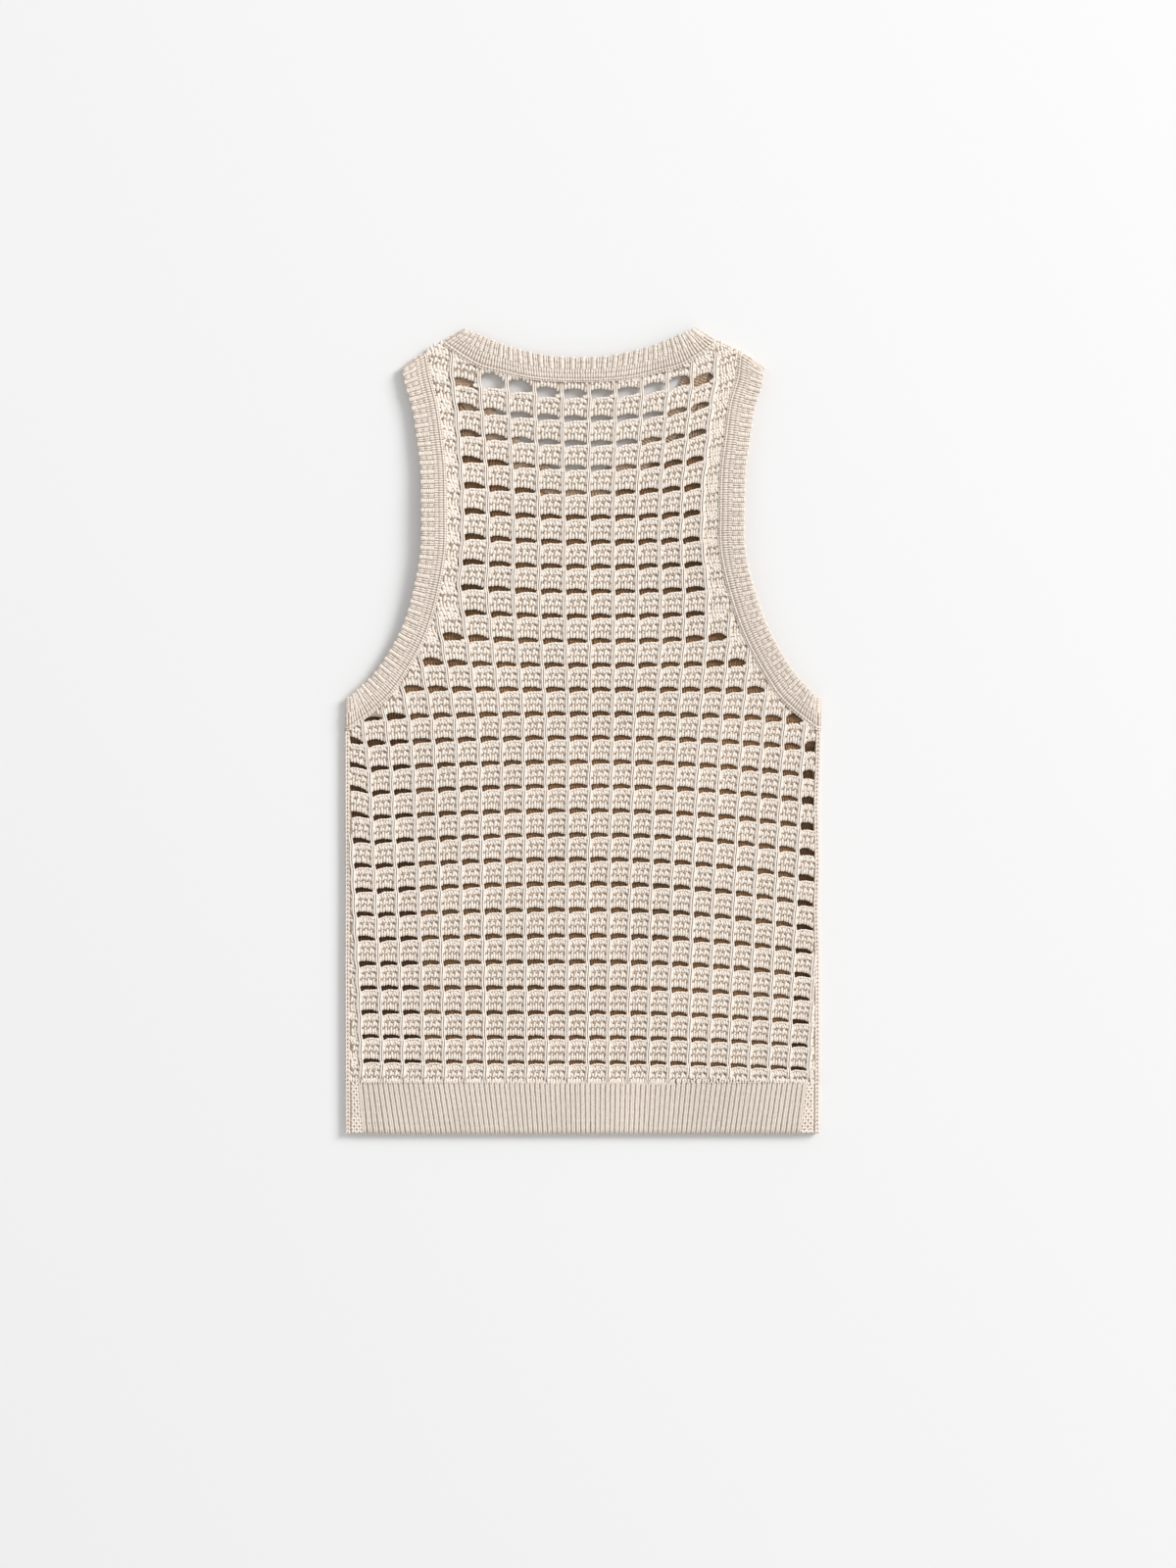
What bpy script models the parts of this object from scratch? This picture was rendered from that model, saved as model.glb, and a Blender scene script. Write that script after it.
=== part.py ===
"""Openwork tank top in cream cotton knit, laid flat with its back up.

The front lies on the surface, the back lies on the front, and the neck and armhole
bands are rings that fold at the shoulders and under the arms. Sizes are millimetres.
The origin is under the middle of the garment, +Y points to the neck, +Z is up.
"""

import math

import bmesh
import bpy
import numpy as np
from mathutils import Vector
from mathutils.geometry import delaunay_2d_cdt

MM = 0.001

# Garment
HEM_EDGE_Y = -288.0        # free edge of the hem rib
HEM_DEPTH = 36.4           # ribbed hem, bottom edge to panel
SEAM = 0.3                 # gap between pieces that are sewn together
FRONT_WALL = 2.4           # lower panel, which rests on the surface
BACK_WALL = 2.4            # upper panel between its raised cords
BAND_WALL = 3.0            # neck and armhole bands
FOLD_REACH = BAND_WALL + SEAM / 2      # how far a folded band stands past its fold line
BACK_UNDER = BAND_WALL + SEAM          # height of the upper layer's underside
SIDE_TURN = 0.6            # how far the upper layer dips to the lower one at the side seams
SIDE_TURN_WIDTH = 9.0
SIDE_SEAM_TOP_Y = 2.0

# Height by which the upper layer stands open at the armholes and the neck
ARMHOLE_LIFT = 3.5
ARMHOLE_X = 117.0
ARMHOLE_LIFT_SPREAD = 42.0
ARMHOLE_TOP_Y = 272.0
UNDERARM_Y = 1.0
NECK_LIFT = 0.6
NECK_X = -2.5
NECK_HALF_WIDTH = 82.4
NECK_LIFT_Y = 266.0
NECK_LIFT_SPREAD = 30.0

# Soft ripples of the upper layer: middle x, middle y, half width, half length, height
RIPPLES = (
    (-92.0, -60.0, 26.0, 90.0, 1.2),
    (60.0, -120.0, 40.0, 60.0, 0.9),
    (20.0, 40.0, 50.0, 40.0, 0.6),
    (-40.0, -190.0, 50.0, 35.0, 0.8),
)

# Ribs
ARM_RIB_PITCH = 4.2
NECK_RIB_PITCH = 7.5
HEM_RIB_PITCH = 3.9
BAND_RIB_HEIGHT = 0.7
HEM_RIB_HEIGHT = 0.7
PLAIN_STEP = 9.0           # section spacing where a band has no ribs
SEAM_DETAIL = 1.5          # points of a panel's seam to one such section
CURVE_STEPS = 12           # steps between two rows of an edge's table

# Openwork: slots stand in rows between cords that run from the neck to the hem
ROWS = 28
CUT_ROWS = 14              # the yoke's rows, whose slots are over 4 mm high
CORD_WIDTH = 4.4
CORD_HEIGHT = 1.0
BLOCK_HEIGHT = 0.6
SLOT_DENT = 1.5
SLOT_TAPER_LEFT = 0.9      # lower corners of a slot, as shares of its half width
SLOT_TAPER_RIGHT = 0.62
SLOT_MARGIN = 3.0          # least cloth between a slot and a panel's edge
FOLD_SEGMENTS = 4
FOLD_FADE = 4 * FOLD_REACH             # stretch over which a band is drawn in to its fold
PROP_STEP = 2              # rows and cords from one underside point to the next

# Triangulation: fill the outline, and the distance in millimetres at which points merge
FILL_INSIDE = 1
MERGE_DISTANCE = 1e-7

# Slots in each row of the widening yoke, from row 10; rows above have 10, rows below 22
YOKE_SLOTS = 10
YOKE_END_ROW = 10
WIDENING = (12, 14, 16, 20)
BODY_SLOTS = 22

# Row, height, middle x, cord spacing, how the spacing shrinks to the right and to both
# sides, rise of the row to its left and right
GRID_COLUMNS = ("row", "y", "x", "pitch", "skew", "narrowing", "left", "right")
GRID = (
    (0, 240.5, 4.4, 19.2, -0.159, -0.015, 0.49, 0.49),
    (1, 222.7, 4.2, 18.9, -0.155, -0.027, 0.37, 0.43),
    (4, 169.9, 4.1, 17.8, -0.180, -0.026, 0.23, 0.20),
    (6, 134.7, 4.1, 17.4, -0.185, -0.015, 0.17, 0.08),
    (8, 99.4, 4.3, 17.5, -0.175, 0.008, 0.14, 0.08),
    (10, 64.1, 4.7, 17.2, -0.091, -0.003, 0.09, 0.08),
    (13, 12.3, 5.2, 15.9, -0.050, -0.001, -0.03, -0.05),
    (15, -22.0, 4.8, 15.6, -0.034, -0.002, -0.05, -0.09),
    (20, -108.9, 3.6, 15.0, -0.020, 0.0, -0.05, -0.13),
    (24, -183.1, 3.3, 14.7, -0.015, 0.0, 0.00, -0.07),
    (27, -236.3, 3.2, 14.5, -0.015, 0.0, 0.01, -0.04),
)

# Row, slot height
SLOT_HEIGHTS = ((0, 7.0), (1, 5.2), (5, 5.0), (9, 5.2), (13, 5.6), (15, 4.0), (27, 3.7))

# The top row follows the neck: cord left of the slot, slot height, rise above its row
TOP_ROW = (
    (-5, 5.2, -2.0),
    (-4, 10.0, 3.0),
    (-3, 8.3, 2.2),
    (-2, 6.9, 0.0),
    (-1, 6.4, 0.0),
    (0, 5.6, 0.2),
    (1, 5.8, 0.6),
    (2, 6.6, 1.4),
    (3, 7.3, 3.0),
    (4, 7.3, 0.6),
)

# Side seams: height, left x, right x
SIDES = (
    (23.5, -170.0, 170.0),
    (-20.0, -170.0, 169.0),
    (-55.0, -170.0, 167.8),
    (-95.0, -169.8, 168.8),
    (-125.0, -169.8, 167.6),
    (-165.0, -170.0, 168.8),
    (-288.0, -169.6, 168.6),
)

# Armhole band from shoulder to underarm: edge height, left x, right x,
# slope of the section in degrees, width of the band there
ARMHOLE = (
    (259.6, -130.4, 130.2, 32.0, 19.6),
    (246.0, -126.7, 127.4, 18.0, 18.0),
    (229.0, -121.8, 122.0, 12.0, 17.5),
    (207.0, -118.3, 118.8, 6.0, 17.2),
    (186.0, -115.8, 115.8, 2.0, 17.0),
    (158.0, -115.3, 114.9, 0.0, 17.0),
    (130.0, -115.6, 115.2, -4.0, 17.0),
    (102.0, -120.4, 121.4, -13.0, 17.0),
    (74.0, -128.8, 131.4, -26.0, 17.2),
    (46.0, -144.9, 147.0, -40.0, 17.6),
    (32.0, -158.0, 159.0, -50.0, 18.4),
    (23.5, -170.0, 170.0, -90.0, 21.5),
)

# Neck band, right half of each side: edge x from the neck's middle, edge y, seam x, seam y
NECK_BACK = (
    (0.0, 266.0, 0.0, 250.0),
    (20.0, 267.0, 19.0, 250.4),
    (40.0, 271.0, 38.0, 252.3),
    (55.0, 275.5, 56.0, 256.6),
    (68.0, 281.0, 75.0, 262.3),
    (NECK_HALF_WIDTH, 288.0, 97.5, 278.4),
)
NECK_FRONT = (
    (NECK_HALF_WIDTH, 288.0, 97.5, 278.4),
    (78.0, 268.0, 94.5, 262.0),
    (71.0, 247.5, 88.0, 241.0),
    (60.0, 228.0, 76.0, 219.0),
    (44.0, 209.0, 58.0, 197.0),
    (21.5, 189.0, 29.0, 171.5),
    (0.0, 181.0, 0.0, 163.0),
)

# Name, colour, roughness
MATERIALS = {
    "back_panel": ("cream_openwork_knit", (0.74, 0.66, 0.57), 0.92),
    "front_panel": ("cream_openwork_knit_front", (0.70, 0.62, 0.53), 0.92),
    "neckband": ("cream_neck_rib", (0.70, 0.62, 0.53), 0.92),
    "armband_left": ("cream_arm_rib_left", (0.66, 0.58, 0.49), 0.92),
    "armband_right": ("cream_arm_rib_right", (0.70, 0.62, 0.53), 0.92),
    "back_hem_rib": ("cream_hem_rib", (0.68, 0.59, 0.50), 0.92),
    "front_hem_rib": ("cream_hem_rib_front", (0.66, 0.58, 0.49), 0.92),
}


def smooth(rows):
    """A Catmull-Rom curve through the rows of a table."""
    table = np.array(rows, dtype=float)
    ends = np.vstack([2 * table[0] - table[1], table, 2 * table[-1] - table[-2]])
    curve = []
    for i in range(1, len(ends) - 2):
        before, start, end, after = ends[i - 1:i + 3]
        for step in range(CURVE_STEPS):
            t = step / CURVE_STEPS
            curve.append(0.5 * (2 * start + (end - before) * t
                                + (2 * before - 5 * start + 4 * end - after) * t ** 2
                                + (3 * start - before - 3 * end + after) * t ** 3))
    curve.append(table[-1])
    return np.array(curve)


def evenly(curve, count):
    """count + 1 rows of a curve at even distances along its first two columns."""
    steps = np.hypot(*np.diff(curve[:, :2], axis=0).T)
    run = np.concatenate([[0.0], np.cumsum(steps)])
    marks = np.linspace(0.0, run[-1], count + 1)
    return np.array([[np.interp(m, run, column) for column in curve.T] for m in marks])


def length_of(curve):
    return float(np.hypot(*np.diff(curve[:, :2], axis=0).T).sum())


def rib_steps(length, pitch):
    """Two sections to a rib, one on its crown and one in the groove."""
    return 2 * max(1, round(length / pitch))


def plain_steps(length):
    return max(2, round(length / PLAIN_STEP))


def side_x(y, side):
    """Half width of the garment at a height, signed by its side."""
    table = np.array(SIDES)[::-1]
    return float(np.interp(y, table[:, 0], table[:, 1 if side < 0 else 2]))


def lift(x, y):
    """How far the upper layer stands above its lowest place."""
    share = min(1.0, max(0.0, (y - UNDERARM_Y) / (ARMHOLE_TOP_Y - UNDERARM_Y)))
    inward = max(0.0, ARMHOLE_X - abs(x)) / ARMHOLE_LIFT_SPREAD
    height = ARMHOLE_LIFT * math.sin(math.pi * share) ** 2 * math.exp(-inward ** 2)
    across = min(1.0, abs(x - NECK_X) / NECK_HALF_WIDTH)
    below = (NECK_LIFT_Y - y) / NECK_LIFT_SPREAD
    height += NECK_LIFT * math.cos(math.pi / 2 * across) ** 2 * math.exp(-below ** 2)
    for mid_x, mid_y, half_width, half_length, crest in RIPPLES:
        away = ((x - mid_x) / half_width) ** 2 + ((y - mid_y) / half_length) ** 2
        height += crest * math.exp(-away)
    return height


def back_under(x, y):
    """Underside of the upper layer, which dips to the lower layer at the side seams."""
    if y >= SIDE_SEAM_TOP_Y:
        return BACK_UNDER + lift(x, y)
    inward = abs(side_x(y, x)) - abs(x)
    edge = min(1.0, max(0.0, inward / SIDE_TURN_WIDTH))
    return BACK_UNDER - SIDE_TURN * (1.0 - edge) + lift(x, y) * edge


def back_over(x, y):
    return back_under(x, y) + BACK_WALL


def front_under(_x, _y):
    return 0.0


def front_over(_x, _y):
    return FRONT_WALL


def material(name):
    label, colour, roughness = MATERIALS[name]
    made = bpy.data.materials.new(label)
    made.use_nodes = True
    shader = made.node_tree.nodes["Principled BSDF"]
    shader.inputs["Base Color"].default_value = (*colour, 1.0)
    shader.inputs["Roughness"].default_value = roughness
    shader.inputs["Metallic"].default_value = 0.0
    return made


def add_object(name, points, faces, collection):
    """A closed mesh with its faces pointing out, from points in millimetres."""
    mesh = bpy.data.meshes.new(name)
    work = bmesh.new()
    corners = [work.verts.new(Vector(point) * MM) for point in points]
    for face in faces:
        work.faces.new([corners[i] for i in face])
    bmesh.ops.recalc_face_normals(work, faces=work.faces)
    if work.calc_volume(signed=True) < 0.0:
        bmesh.ops.reverse_faces(work, faces=work.faces)
    work.to_mesh(mesh)
    work.free()
    mesh.materials.append(material(name))
    made = bpy.data.objects.new(name, mesh)
    collection.objects.link(made)
    return made


def loop_edges(start, count):
    return [(start + i, start + (i + 1) % count) for i in range(count)]


def triangles(points, edges, outline_count):
    """Triangles between flat points inside the outline, which is the first of them."""
    flat = [Vector((x, y)) for x, y in points]
    outline = list(range(outline_count))
    _, _, faces, origin, _, _ = delaunay_2d_cdt(flat, edges, [outline], FILL_INSIDE,
                                                 MERGE_DISTANCE)
    return [tuple(origin[i][0] for i in face) for face in faces]


def cloth_wall(name, outline, under, over, collection, slots=(), dents=(), cords=(), crowns=(),
               props=()):
    """A wall of cloth over a flat outline, between the heights that under and over give.

    slots are cut through and dents are sunk. cords are chains of raised points, crowns are
    single ones, and props are points that let the underside follow the same rise.
    """
    upper, lower = list(outline), list(outline)
    upper_z = [over(*point) for point in outline]
    lower_z = [under(*point) for point in outline]
    upper_edges = loop_edges(0, len(outline))
    lower_edges = loop_edges(0, len(outline))
    holes = []
    for slot in slots:
        holes.append((len(upper), len(lower)))
        upper_edges += loop_edges(len(upper), len(slot))
        lower_edges += loop_edges(len(lower), len(slot))
        upper += slot
        lower += slot
        upper_z += [over(*point) for point in slot]
        lower_z += [under(*point) for point in slot]
    for rim in dents:
        upper_edges += loop_edges(len(upper), len(rim))
        middle = tuple(np.mean(rim, axis=0))
        upper += rim + [middle]
        upper_z += [over(*point) for point in rim] + [over(*middle) - SLOT_DENT]
    for chain in cords:
        upper_edges += [(len(upper) + i, len(upper) + i + 1) for i in range(len(chain) - 1)]
        upper += chain
        upper_z += [over(*point) + CORD_HEIGHT for point in chain]
    for point in crowns:
        upper.append(point)
        upper_z.append(over(*point) + BLOCK_HEIGHT)
    for point in props:
        lower.append(point)
        lower_z.append(under(*point))

    base = len(upper)
    count = len(outline)
    open_above = [set(range(first, first + 4)) for first, _ in holes]
    open_below = [set(range(first, first + 4)) for _, first in holes]
    faces = [face for face in triangles(upper, upper_edges, count)
             if not any(set(face) <= gap for gap in open_above)]
    faces += [tuple(base + i for i in face) for face in triangles(lower, lower_edges, count)
              if not any(set(face) <= gap for gap in open_below)]
    faces += [(a, b, base + b, base + a) for a, b in loop_edges(0, count)]
    for above, below in holes:
        for i in range(4):
            j = (i + 1) % 4
            faces.append((above + i, above + j, base + below + j, base + below + i))
    points = [(*point, z) for point, z in zip(upper, upper_z)]
    points += [(*point, z) for point, z in zip(lower, lower_z)]
    return add_object(name, points, faces, collection)


def grid_row(row):
    """The table's values at any row, whole or not."""
    table = np.array(GRID)
    return {name: float(np.interp(row, table[:, 0], table[:, i]))
            for i, name in enumerate(GRID_COLUMNS)}


def grid_point(cord, row):
    """Place of a cord, counted from the middle one, at a row of slots."""
    at = grid_row(row)
    beyond = row - min(max(row, 0), ROWS - 1)
    rise = at["left"] if cord < 0 else at["right"]
    row_pitch = (GRID[0][1] - GRID[-1][1]) / (ROWS - 1)
    x = at["x"] + at["pitch"] * cord + at["skew"] * cord ** 2 + at["narrowing"] * cord ** 3
    y = at["y"] + rise * cord ** 2 - beyond * row_pitch
    return x, y


def slots_in_row(row):
    if row < YOKE_END_ROW:
        return YOKE_SLOTS
    if row < YOKE_END_ROW + len(WIDENING):
        return WIDENING[row - YOKE_END_ROW]
    return BODY_SLOTS


def slot_corners(cord, row):
    """The slot just right of a cord: its upper edge is the wider one."""
    heights = np.array(SLOT_HEIGHTS)
    height, rise = float(np.interp(row, heights[:, 0], heights[:, 1])), 0.0
    if row == 0:
        height, rise = next(entry[1:] for entry in TOP_ROW if entry[0] == cord)
    half_height = height / 2
    left_x, left_y = grid_point(cord, row)
    right_x, right_y = grid_point(cord + 1, row)
    left_limit = side_x(left_y, -1) + SLOT_MARGIN - CORD_WIDTH / 2
    right_limit = side_x(right_y, 1) - SLOT_MARGIN + CORD_WIDTH / 2
    left_x, right_x = max(left_x, left_limit), min(right_x, right_limit)
    half_width = (right_x - left_x - CORD_WIDTH) / 2
    x, y = (left_x + right_x) / 2, (left_y + right_y) / 2 + rise
    tilt = (right_y - left_y) / 2
    return [(x - half_width, y + half_height - tilt),
            (x - half_width * SLOT_TAPER_LEFT, y - half_height - tilt),
            (x + half_width * SLOT_TAPER_RIGHT, y - half_height + tilt),
            (x + half_width, y + half_height + tilt)]


def clearance(point, outline):
    """Distance of a point inside an outline from its edge, below zero for one outside."""
    start = np.array(outline)
    along = np.roll(start, -1, axis=0) - start
    away = np.array(point) - start
    share = np.clip((away * along).sum(axis=1) / (along ** 2).sum(axis=1), 0.0, 1.0)
    nearest = float(np.hypot(*(away - along * share[:, None]).T).min())
    crosses = (start[:, 1] > point[1]) != (start[:, 1] + along[:, 1] > point[1])
    slope = np.divide(along[:, 0], along[:, 1], where=along[:, 1] != 0, out=np.zeros(len(along)))
    reach = start[:, 0] + slope * away[:, 1]
    return nearest if (crosses & (reach > point[0])).sum() % 2 else -nearest


def openwork(outline):
    """Slots, dents, cords, crowns and props of the upper panel."""
    slots, dents, crowns = [], [], []
    chains = {}
    for row in range(ROWS):
        half = slots_in_row(row) // 2
        for cord in range(-half, half):
            corners = slot_corners(cord, row)
            if min(clearance(corner, outline) for corner in corners) > SLOT_MARGIN / 2:
                (slots if row < CUT_ROWS else dents).append(corners)
            crown = tuple(np.mean([grid_point(cord, row + 0.5),
                                   grid_point(cord + 1, row + 0.5)], axis=0))
            if clearance(crown, outline) > SLOT_MARGIN:
                crowns.append(crown)
        for cord in range(-half, half + 1):
            point = grid_point(cord, row)
            if abs(cord) * 2 < BODY_SLOTS and clearance(point, outline) > CORD_WIDTH / 2:
                chains.setdefault(cord, []).append(point)
    widest = BODY_SLOTS // 2
    props = [grid_point(cord, row + 0.5) for row in range(0, ROWS - 1, PROP_STEP)
             for cord in range(1 - widest, widest, PROP_STEP) if abs(cord) < slots_in_row(row) // 2]
    props = [point for point in props if clearance(point, outline) > PLAIN_STEP / 2]
    return slots, dents, list(chains.values()), crowns, props


def armhole_curve(side):
    """Free edge and seam of an armhole band, from the shoulder to the underarm."""
    rows = []
    for y, left, right, slope, width in ARMHOLE:
        x = left if side < 0 else right
        angle = math.radians(slope)
        rows.append((x, y, x - side * width * math.cos(angle), y + width * math.sin(angle)))
    return smooth(rows)


def mirrored_neck(rows):
    """Both halves of a neck table, from the left shoulder or middle to the right one."""
    right = [(NECK_X + edge, y, NECK_X + seam, seam_y) for edge, y, seam, seam_y in rows]
    left = [(NECK_X - edge, y, NECK_X - seam, seam_y) for edge, y, seam, seam_y in rows]
    if rows[0][0] == 0.0:
        return smooth(left[::-1] + right[1:])
    return smooth(right + left[::-1][1:])


def pulled_in(curve, start_out, end_out):
    """A band's half with its two end sections on the fold lines, behind the folds' reach.

    The shift fades along the band, so only the sections near a fold move.
    """
    run = np.concatenate([[0.0], np.cumsum(np.hypot(*np.diff(curve[:, :2], axis=0).T))])
    start = np.clip(1 - run / FOLD_FADE, 0, 1)[:, None] * FOLD_REACH * np.tile(start_out, 2)
    left = run[-1] - run
    end = np.clip(1 - left / FOLD_FADE, 0, 1)[:, None] * FOLD_REACH * np.tile(end_out, 2)
    return curve - start - end


def fold_out(section, toward):
    """Unit vector square to a section, on the side that a given point lies."""
    free, seam = np.array(section[:2]), np.array(section[2:])
    along = (seam - free) / np.linalg.norm(seam - free)
    square = np.array([-along[1], along[0]])
    return square if square @ (np.array(toward) - free) > 0 else -square


def fold_sections(row, out, going_down):
    """Sections round a fold, between the upper and the lower half of a band."""
    sections = []
    middle = BACK_UNDER - SEAM / 2
    for step in range(1, FOLD_SEGMENTS):
        angle = math.pi * step / FOLD_SEGMENTS
        if not going_down:
            angle = math.pi - angle
        section = []
        for edge, radius in ((0, FOLD_REACH), (0, SEAM / 2), (2, SEAM / 2), (2, FOLD_REACH)):
            x, y = row[edge:edge + 2] + out * radius * math.sin(angle)
            section.append((x, y, middle + radius * math.cos(angle)))
        sections.append(section)
    return sections


def upper_sections(rows, rib_height):
    """Sections of a band's upper half, every other one raised as a rib."""
    sections = []
    for i, row in enumerate(rows):
        free, seam = row[:2], row[2:]
        inner = [back_under(*free), back_under(*seam)]
        ribbed = rib_height if i % 2 and i < len(rows) - 1 else 0.0
        sections.append([(*free, inner[0] + BAND_WALL + ribbed), (*free, inner[0]),
                         (*seam, inner[1]), (*seam, inner[1] + BAND_WALL + ribbed)])
    return sections


def lower_sections(rows):
    return [[(*row[:2], 0.0), (*row[:2], BAND_WALL), (*row[2:], BAND_WALL), (*row[2:], 0.0)]
            for row in rows]


def add_ring(name, sections, collection):
    """A closed ring through four-cornered sections."""
    points = [corner for section in sections for corner in section]
    count = len(sections)
    faces = []
    for i in range(count):
        j = (i + 1) % count
        for corner in range(4):
            after = (corner + 1) % 4
            faces.append((4 * i + corner, 4 * i + after, 4 * j + after, 4 * j + corner))
    return add_object(name, points, faces, collection)


def armband(name, side, collection):
    """One armhole band: back half, fold under the arm, front half, fold at the shoulder."""
    curve = armhole_curve(side)
    shoulder = fold_out(curve[0], curve[0, :2] + (side, 1.0))
    underarm = np.array([float(side), 0.0])
    curve = pulled_in(curve, shoulder, underarm)
    length = length_of(curve)
    back = evenly(curve, rib_steps(length, ARM_RIB_PITCH))
    front = evenly(curve, plain_steps(length))[::-1]
    sections = upper_sections(back, BAND_RIB_HEIGHT)
    sections += fold_sections(back[-1], underarm, True)
    sections += lower_sections(front)
    sections += fold_sections(back[0], shoulder, False)
    add_ring(name, sections, collection)


def neck_halves():
    """Back and front halves of the neck band, from left to right and back to the left."""
    back, front = mirrored_neck(NECK_BACK), mirrored_neck(NECK_FRONT)
    left = fold_out(back[0], back[0, :2] + (-1.0, 1.0))
    right = fold_out(back[-1], back[-1, :2] + (1.0, 1.0))
    return pulled_in(back, left, right), pulled_in(front, right, left), left, right


def neckband(collection):
    """The neck band: shallow back half above, deeper front half below."""
    back, front, left, right = neck_halves()
    back = evenly(back, rib_steps(length_of(back), NECK_RIB_PITCH))
    front = evenly(front, plain_steps(length_of(front)))
    sections = upper_sections(back, BAND_RIB_HEIGHT)
    sections += fold_sections(back[-1], right, True)
    sections += lower_sections(front)
    sections += fold_sections(back[0], left, False)
    add_ring("neckband", sections, collection)


def seam_line(rows, steps):
    """Panel edge that runs a seam's gap inside a band."""
    rows = evenly(rows, steps)
    across = rows[:, 2:] - rows[:, :2]
    return rows[:, 2:] + across / np.linalg.norm(across, axis=1)[:, None] * SEAM


def armhole_seam(side):
    """Panel edge along an armhole, from the shoulder line to the side seam."""
    curve = armhole_curve(side)
    shoulder = fold_out(curve[0], curve[0, :2] + (side, 1.0))
    curve = pulled_in(curve, shoulder, np.array([float(side), 0.0]))
    line = seam_line(curve, round(SEAM_DETAIL * plain_steps(length_of(curve))))
    top = line[0] + shoulder * FOLD_REACH
    side_end = line[-1] + np.array([side * FOLD_REACH, 0.0])
    return [tuple(top)] + [tuple(point) for point in line] + [tuple(side_end)]


def panel_outline(neck_seam):
    """A panel's outline, from the neck's left shoulder round by the right side."""
    right, left = armhole_seam(1), armhole_seam(-1)
    hem_y = HEM_EDGE_Y + HEM_DEPTH + SEAM
    heights = [row[0] for row in SIDES[1:-1]]
    right_side = [(side_x(y, 1), y) for y in heights]
    left_side = [(side_x(y, -1), y) for y in reversed(heights)]
    corners = [(side_x(hem_y, 1), hem_y), (side_x(hem_y, -1), hem_y)]
    return neck_seam + right + right_side + corners + left_side + left[::-1]


def neck_seam_line(half, start_out, end_out):
    """Panel edge along the neck, with its ends carried out to the shoulder lines."""
    line = seam_line(half, round(SEAM_DETAIL * plain_steps(length_of(half))))
    points = [tuple(point) for point in line]
    return [tuple(line[0] + start_out * FOLD_REACH)] + points + [
        tuple(line[-1] + end_out * FOLD_REACH)]


def panels(collection):
    back, front, left, right = neck_halves()
    outline = panel_outline(neck_seam_line(back, left, right))
    slots, dents, cords, crowns, props = openwork(outline)
    cloth_wall("back_panel", outline, back_under, back_over, collection,
               slots, dents, cords, crowns, props)
    front_outline = panel_outline(neck_seam_line(front, right, left)[::-1])
    cloth_wall("front_panel", front_outline, front_under, front_over, collection)


def hem_sections(ribs, under, wall, rib_height):
    """Upright sections of a hem rib from left to right."""
    top_y, low_y = HEM_EDGE_Y + HEM_DEPTH, HEM_EDGE_Y
    steps = 2 * ribs
    sections = []
    for i in range(steps + 1):
        share = i / steps
        section = []
        ribbed = rib_height if i % 2 else 0.0
        for y, raised in ((low_y, True), (low_y, False), (top_y, False), (top_y, True)):
            x = (1 - share) * side_x(y, -1) + share * side_x(y, 1)
            section.append((x, y, under(x, y) + (wall + ribbed if raised else 0.0)))
        sections.append(section)
    return sections


def add_strip(name, sections, collection):
    """A closed strip through four-cornered sections, capped at both ends."""
    points = [corner for section in sections for corner in section]
    faces = [(0, 1, 2, 3), tuple(4 * (len(sections) - 1) + i for i in range(4))]
    for i in range(len(sections) - 1):
        for corner in range(4):
            after = (corner + 1) % 4
            faces.append((4 * i + corner, 4 * i + after, 4 * i + 4 + after, 4 * i + 4 + corner))
    return add_object(name, points, faces, collection)


def hems(collection):
    ribs = round((side_x(HEM_EDGE_Y, 1) - side_x(HEM_EDGE_Y, -1)) / HEM_RIB_PITCH)
    add_strip("back_hem_rib", hem_sections(ribs, back_under, BACK_WALL, HEM_RIB_HEIGHT), collection)
    plain = plain_steps(side_x(HEM_EDGE_Y, 1))
    add_strip("front_hem_rib", hem_sections(plain, front_under, FRONT_WALL, 0.0), collection)


def main():
    for old in list(bpy.data.objects):
        bpy.data.objects.remove(old, do_unlink=True)
    collection = bpy.data.collections.new("openwork_tank_top")
    bpy.context.scene.collection.children.link(collection)
    panels(collection)
    neckband(collection)
    armband("armband_left", -1, collection)
    armband("armband_right", 1, collection)
    hems(collection)


main()
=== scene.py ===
"""Looks of the openwork tank top: cream cotton yarn, laid flat with its back up.

The knit is built strand by strand over thin walls of cloth. Sizes are millimetres, in
the part's own frame: +Y points to the neck and +Z up from the surface.
"""

import math

import bpy
import numpy as np
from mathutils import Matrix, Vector
from mathutils.geometry import delaunay_2d_cdt


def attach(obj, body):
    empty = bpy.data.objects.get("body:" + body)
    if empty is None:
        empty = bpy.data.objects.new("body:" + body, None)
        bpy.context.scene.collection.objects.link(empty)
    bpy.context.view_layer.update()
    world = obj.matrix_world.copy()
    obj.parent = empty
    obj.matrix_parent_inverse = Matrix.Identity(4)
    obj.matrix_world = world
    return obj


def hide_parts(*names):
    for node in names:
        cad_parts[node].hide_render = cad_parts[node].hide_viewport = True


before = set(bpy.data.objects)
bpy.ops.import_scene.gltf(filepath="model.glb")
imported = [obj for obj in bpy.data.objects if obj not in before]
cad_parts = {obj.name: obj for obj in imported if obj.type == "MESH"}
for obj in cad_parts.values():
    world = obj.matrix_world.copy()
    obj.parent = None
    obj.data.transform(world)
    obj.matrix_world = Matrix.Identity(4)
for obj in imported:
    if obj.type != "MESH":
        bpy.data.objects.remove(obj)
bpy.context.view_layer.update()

MM = 0.001
SEED = 7
UP = (0.0, 0.0, 1.0)
DOWN = (0.0, 0.0, -1.0)

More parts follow.
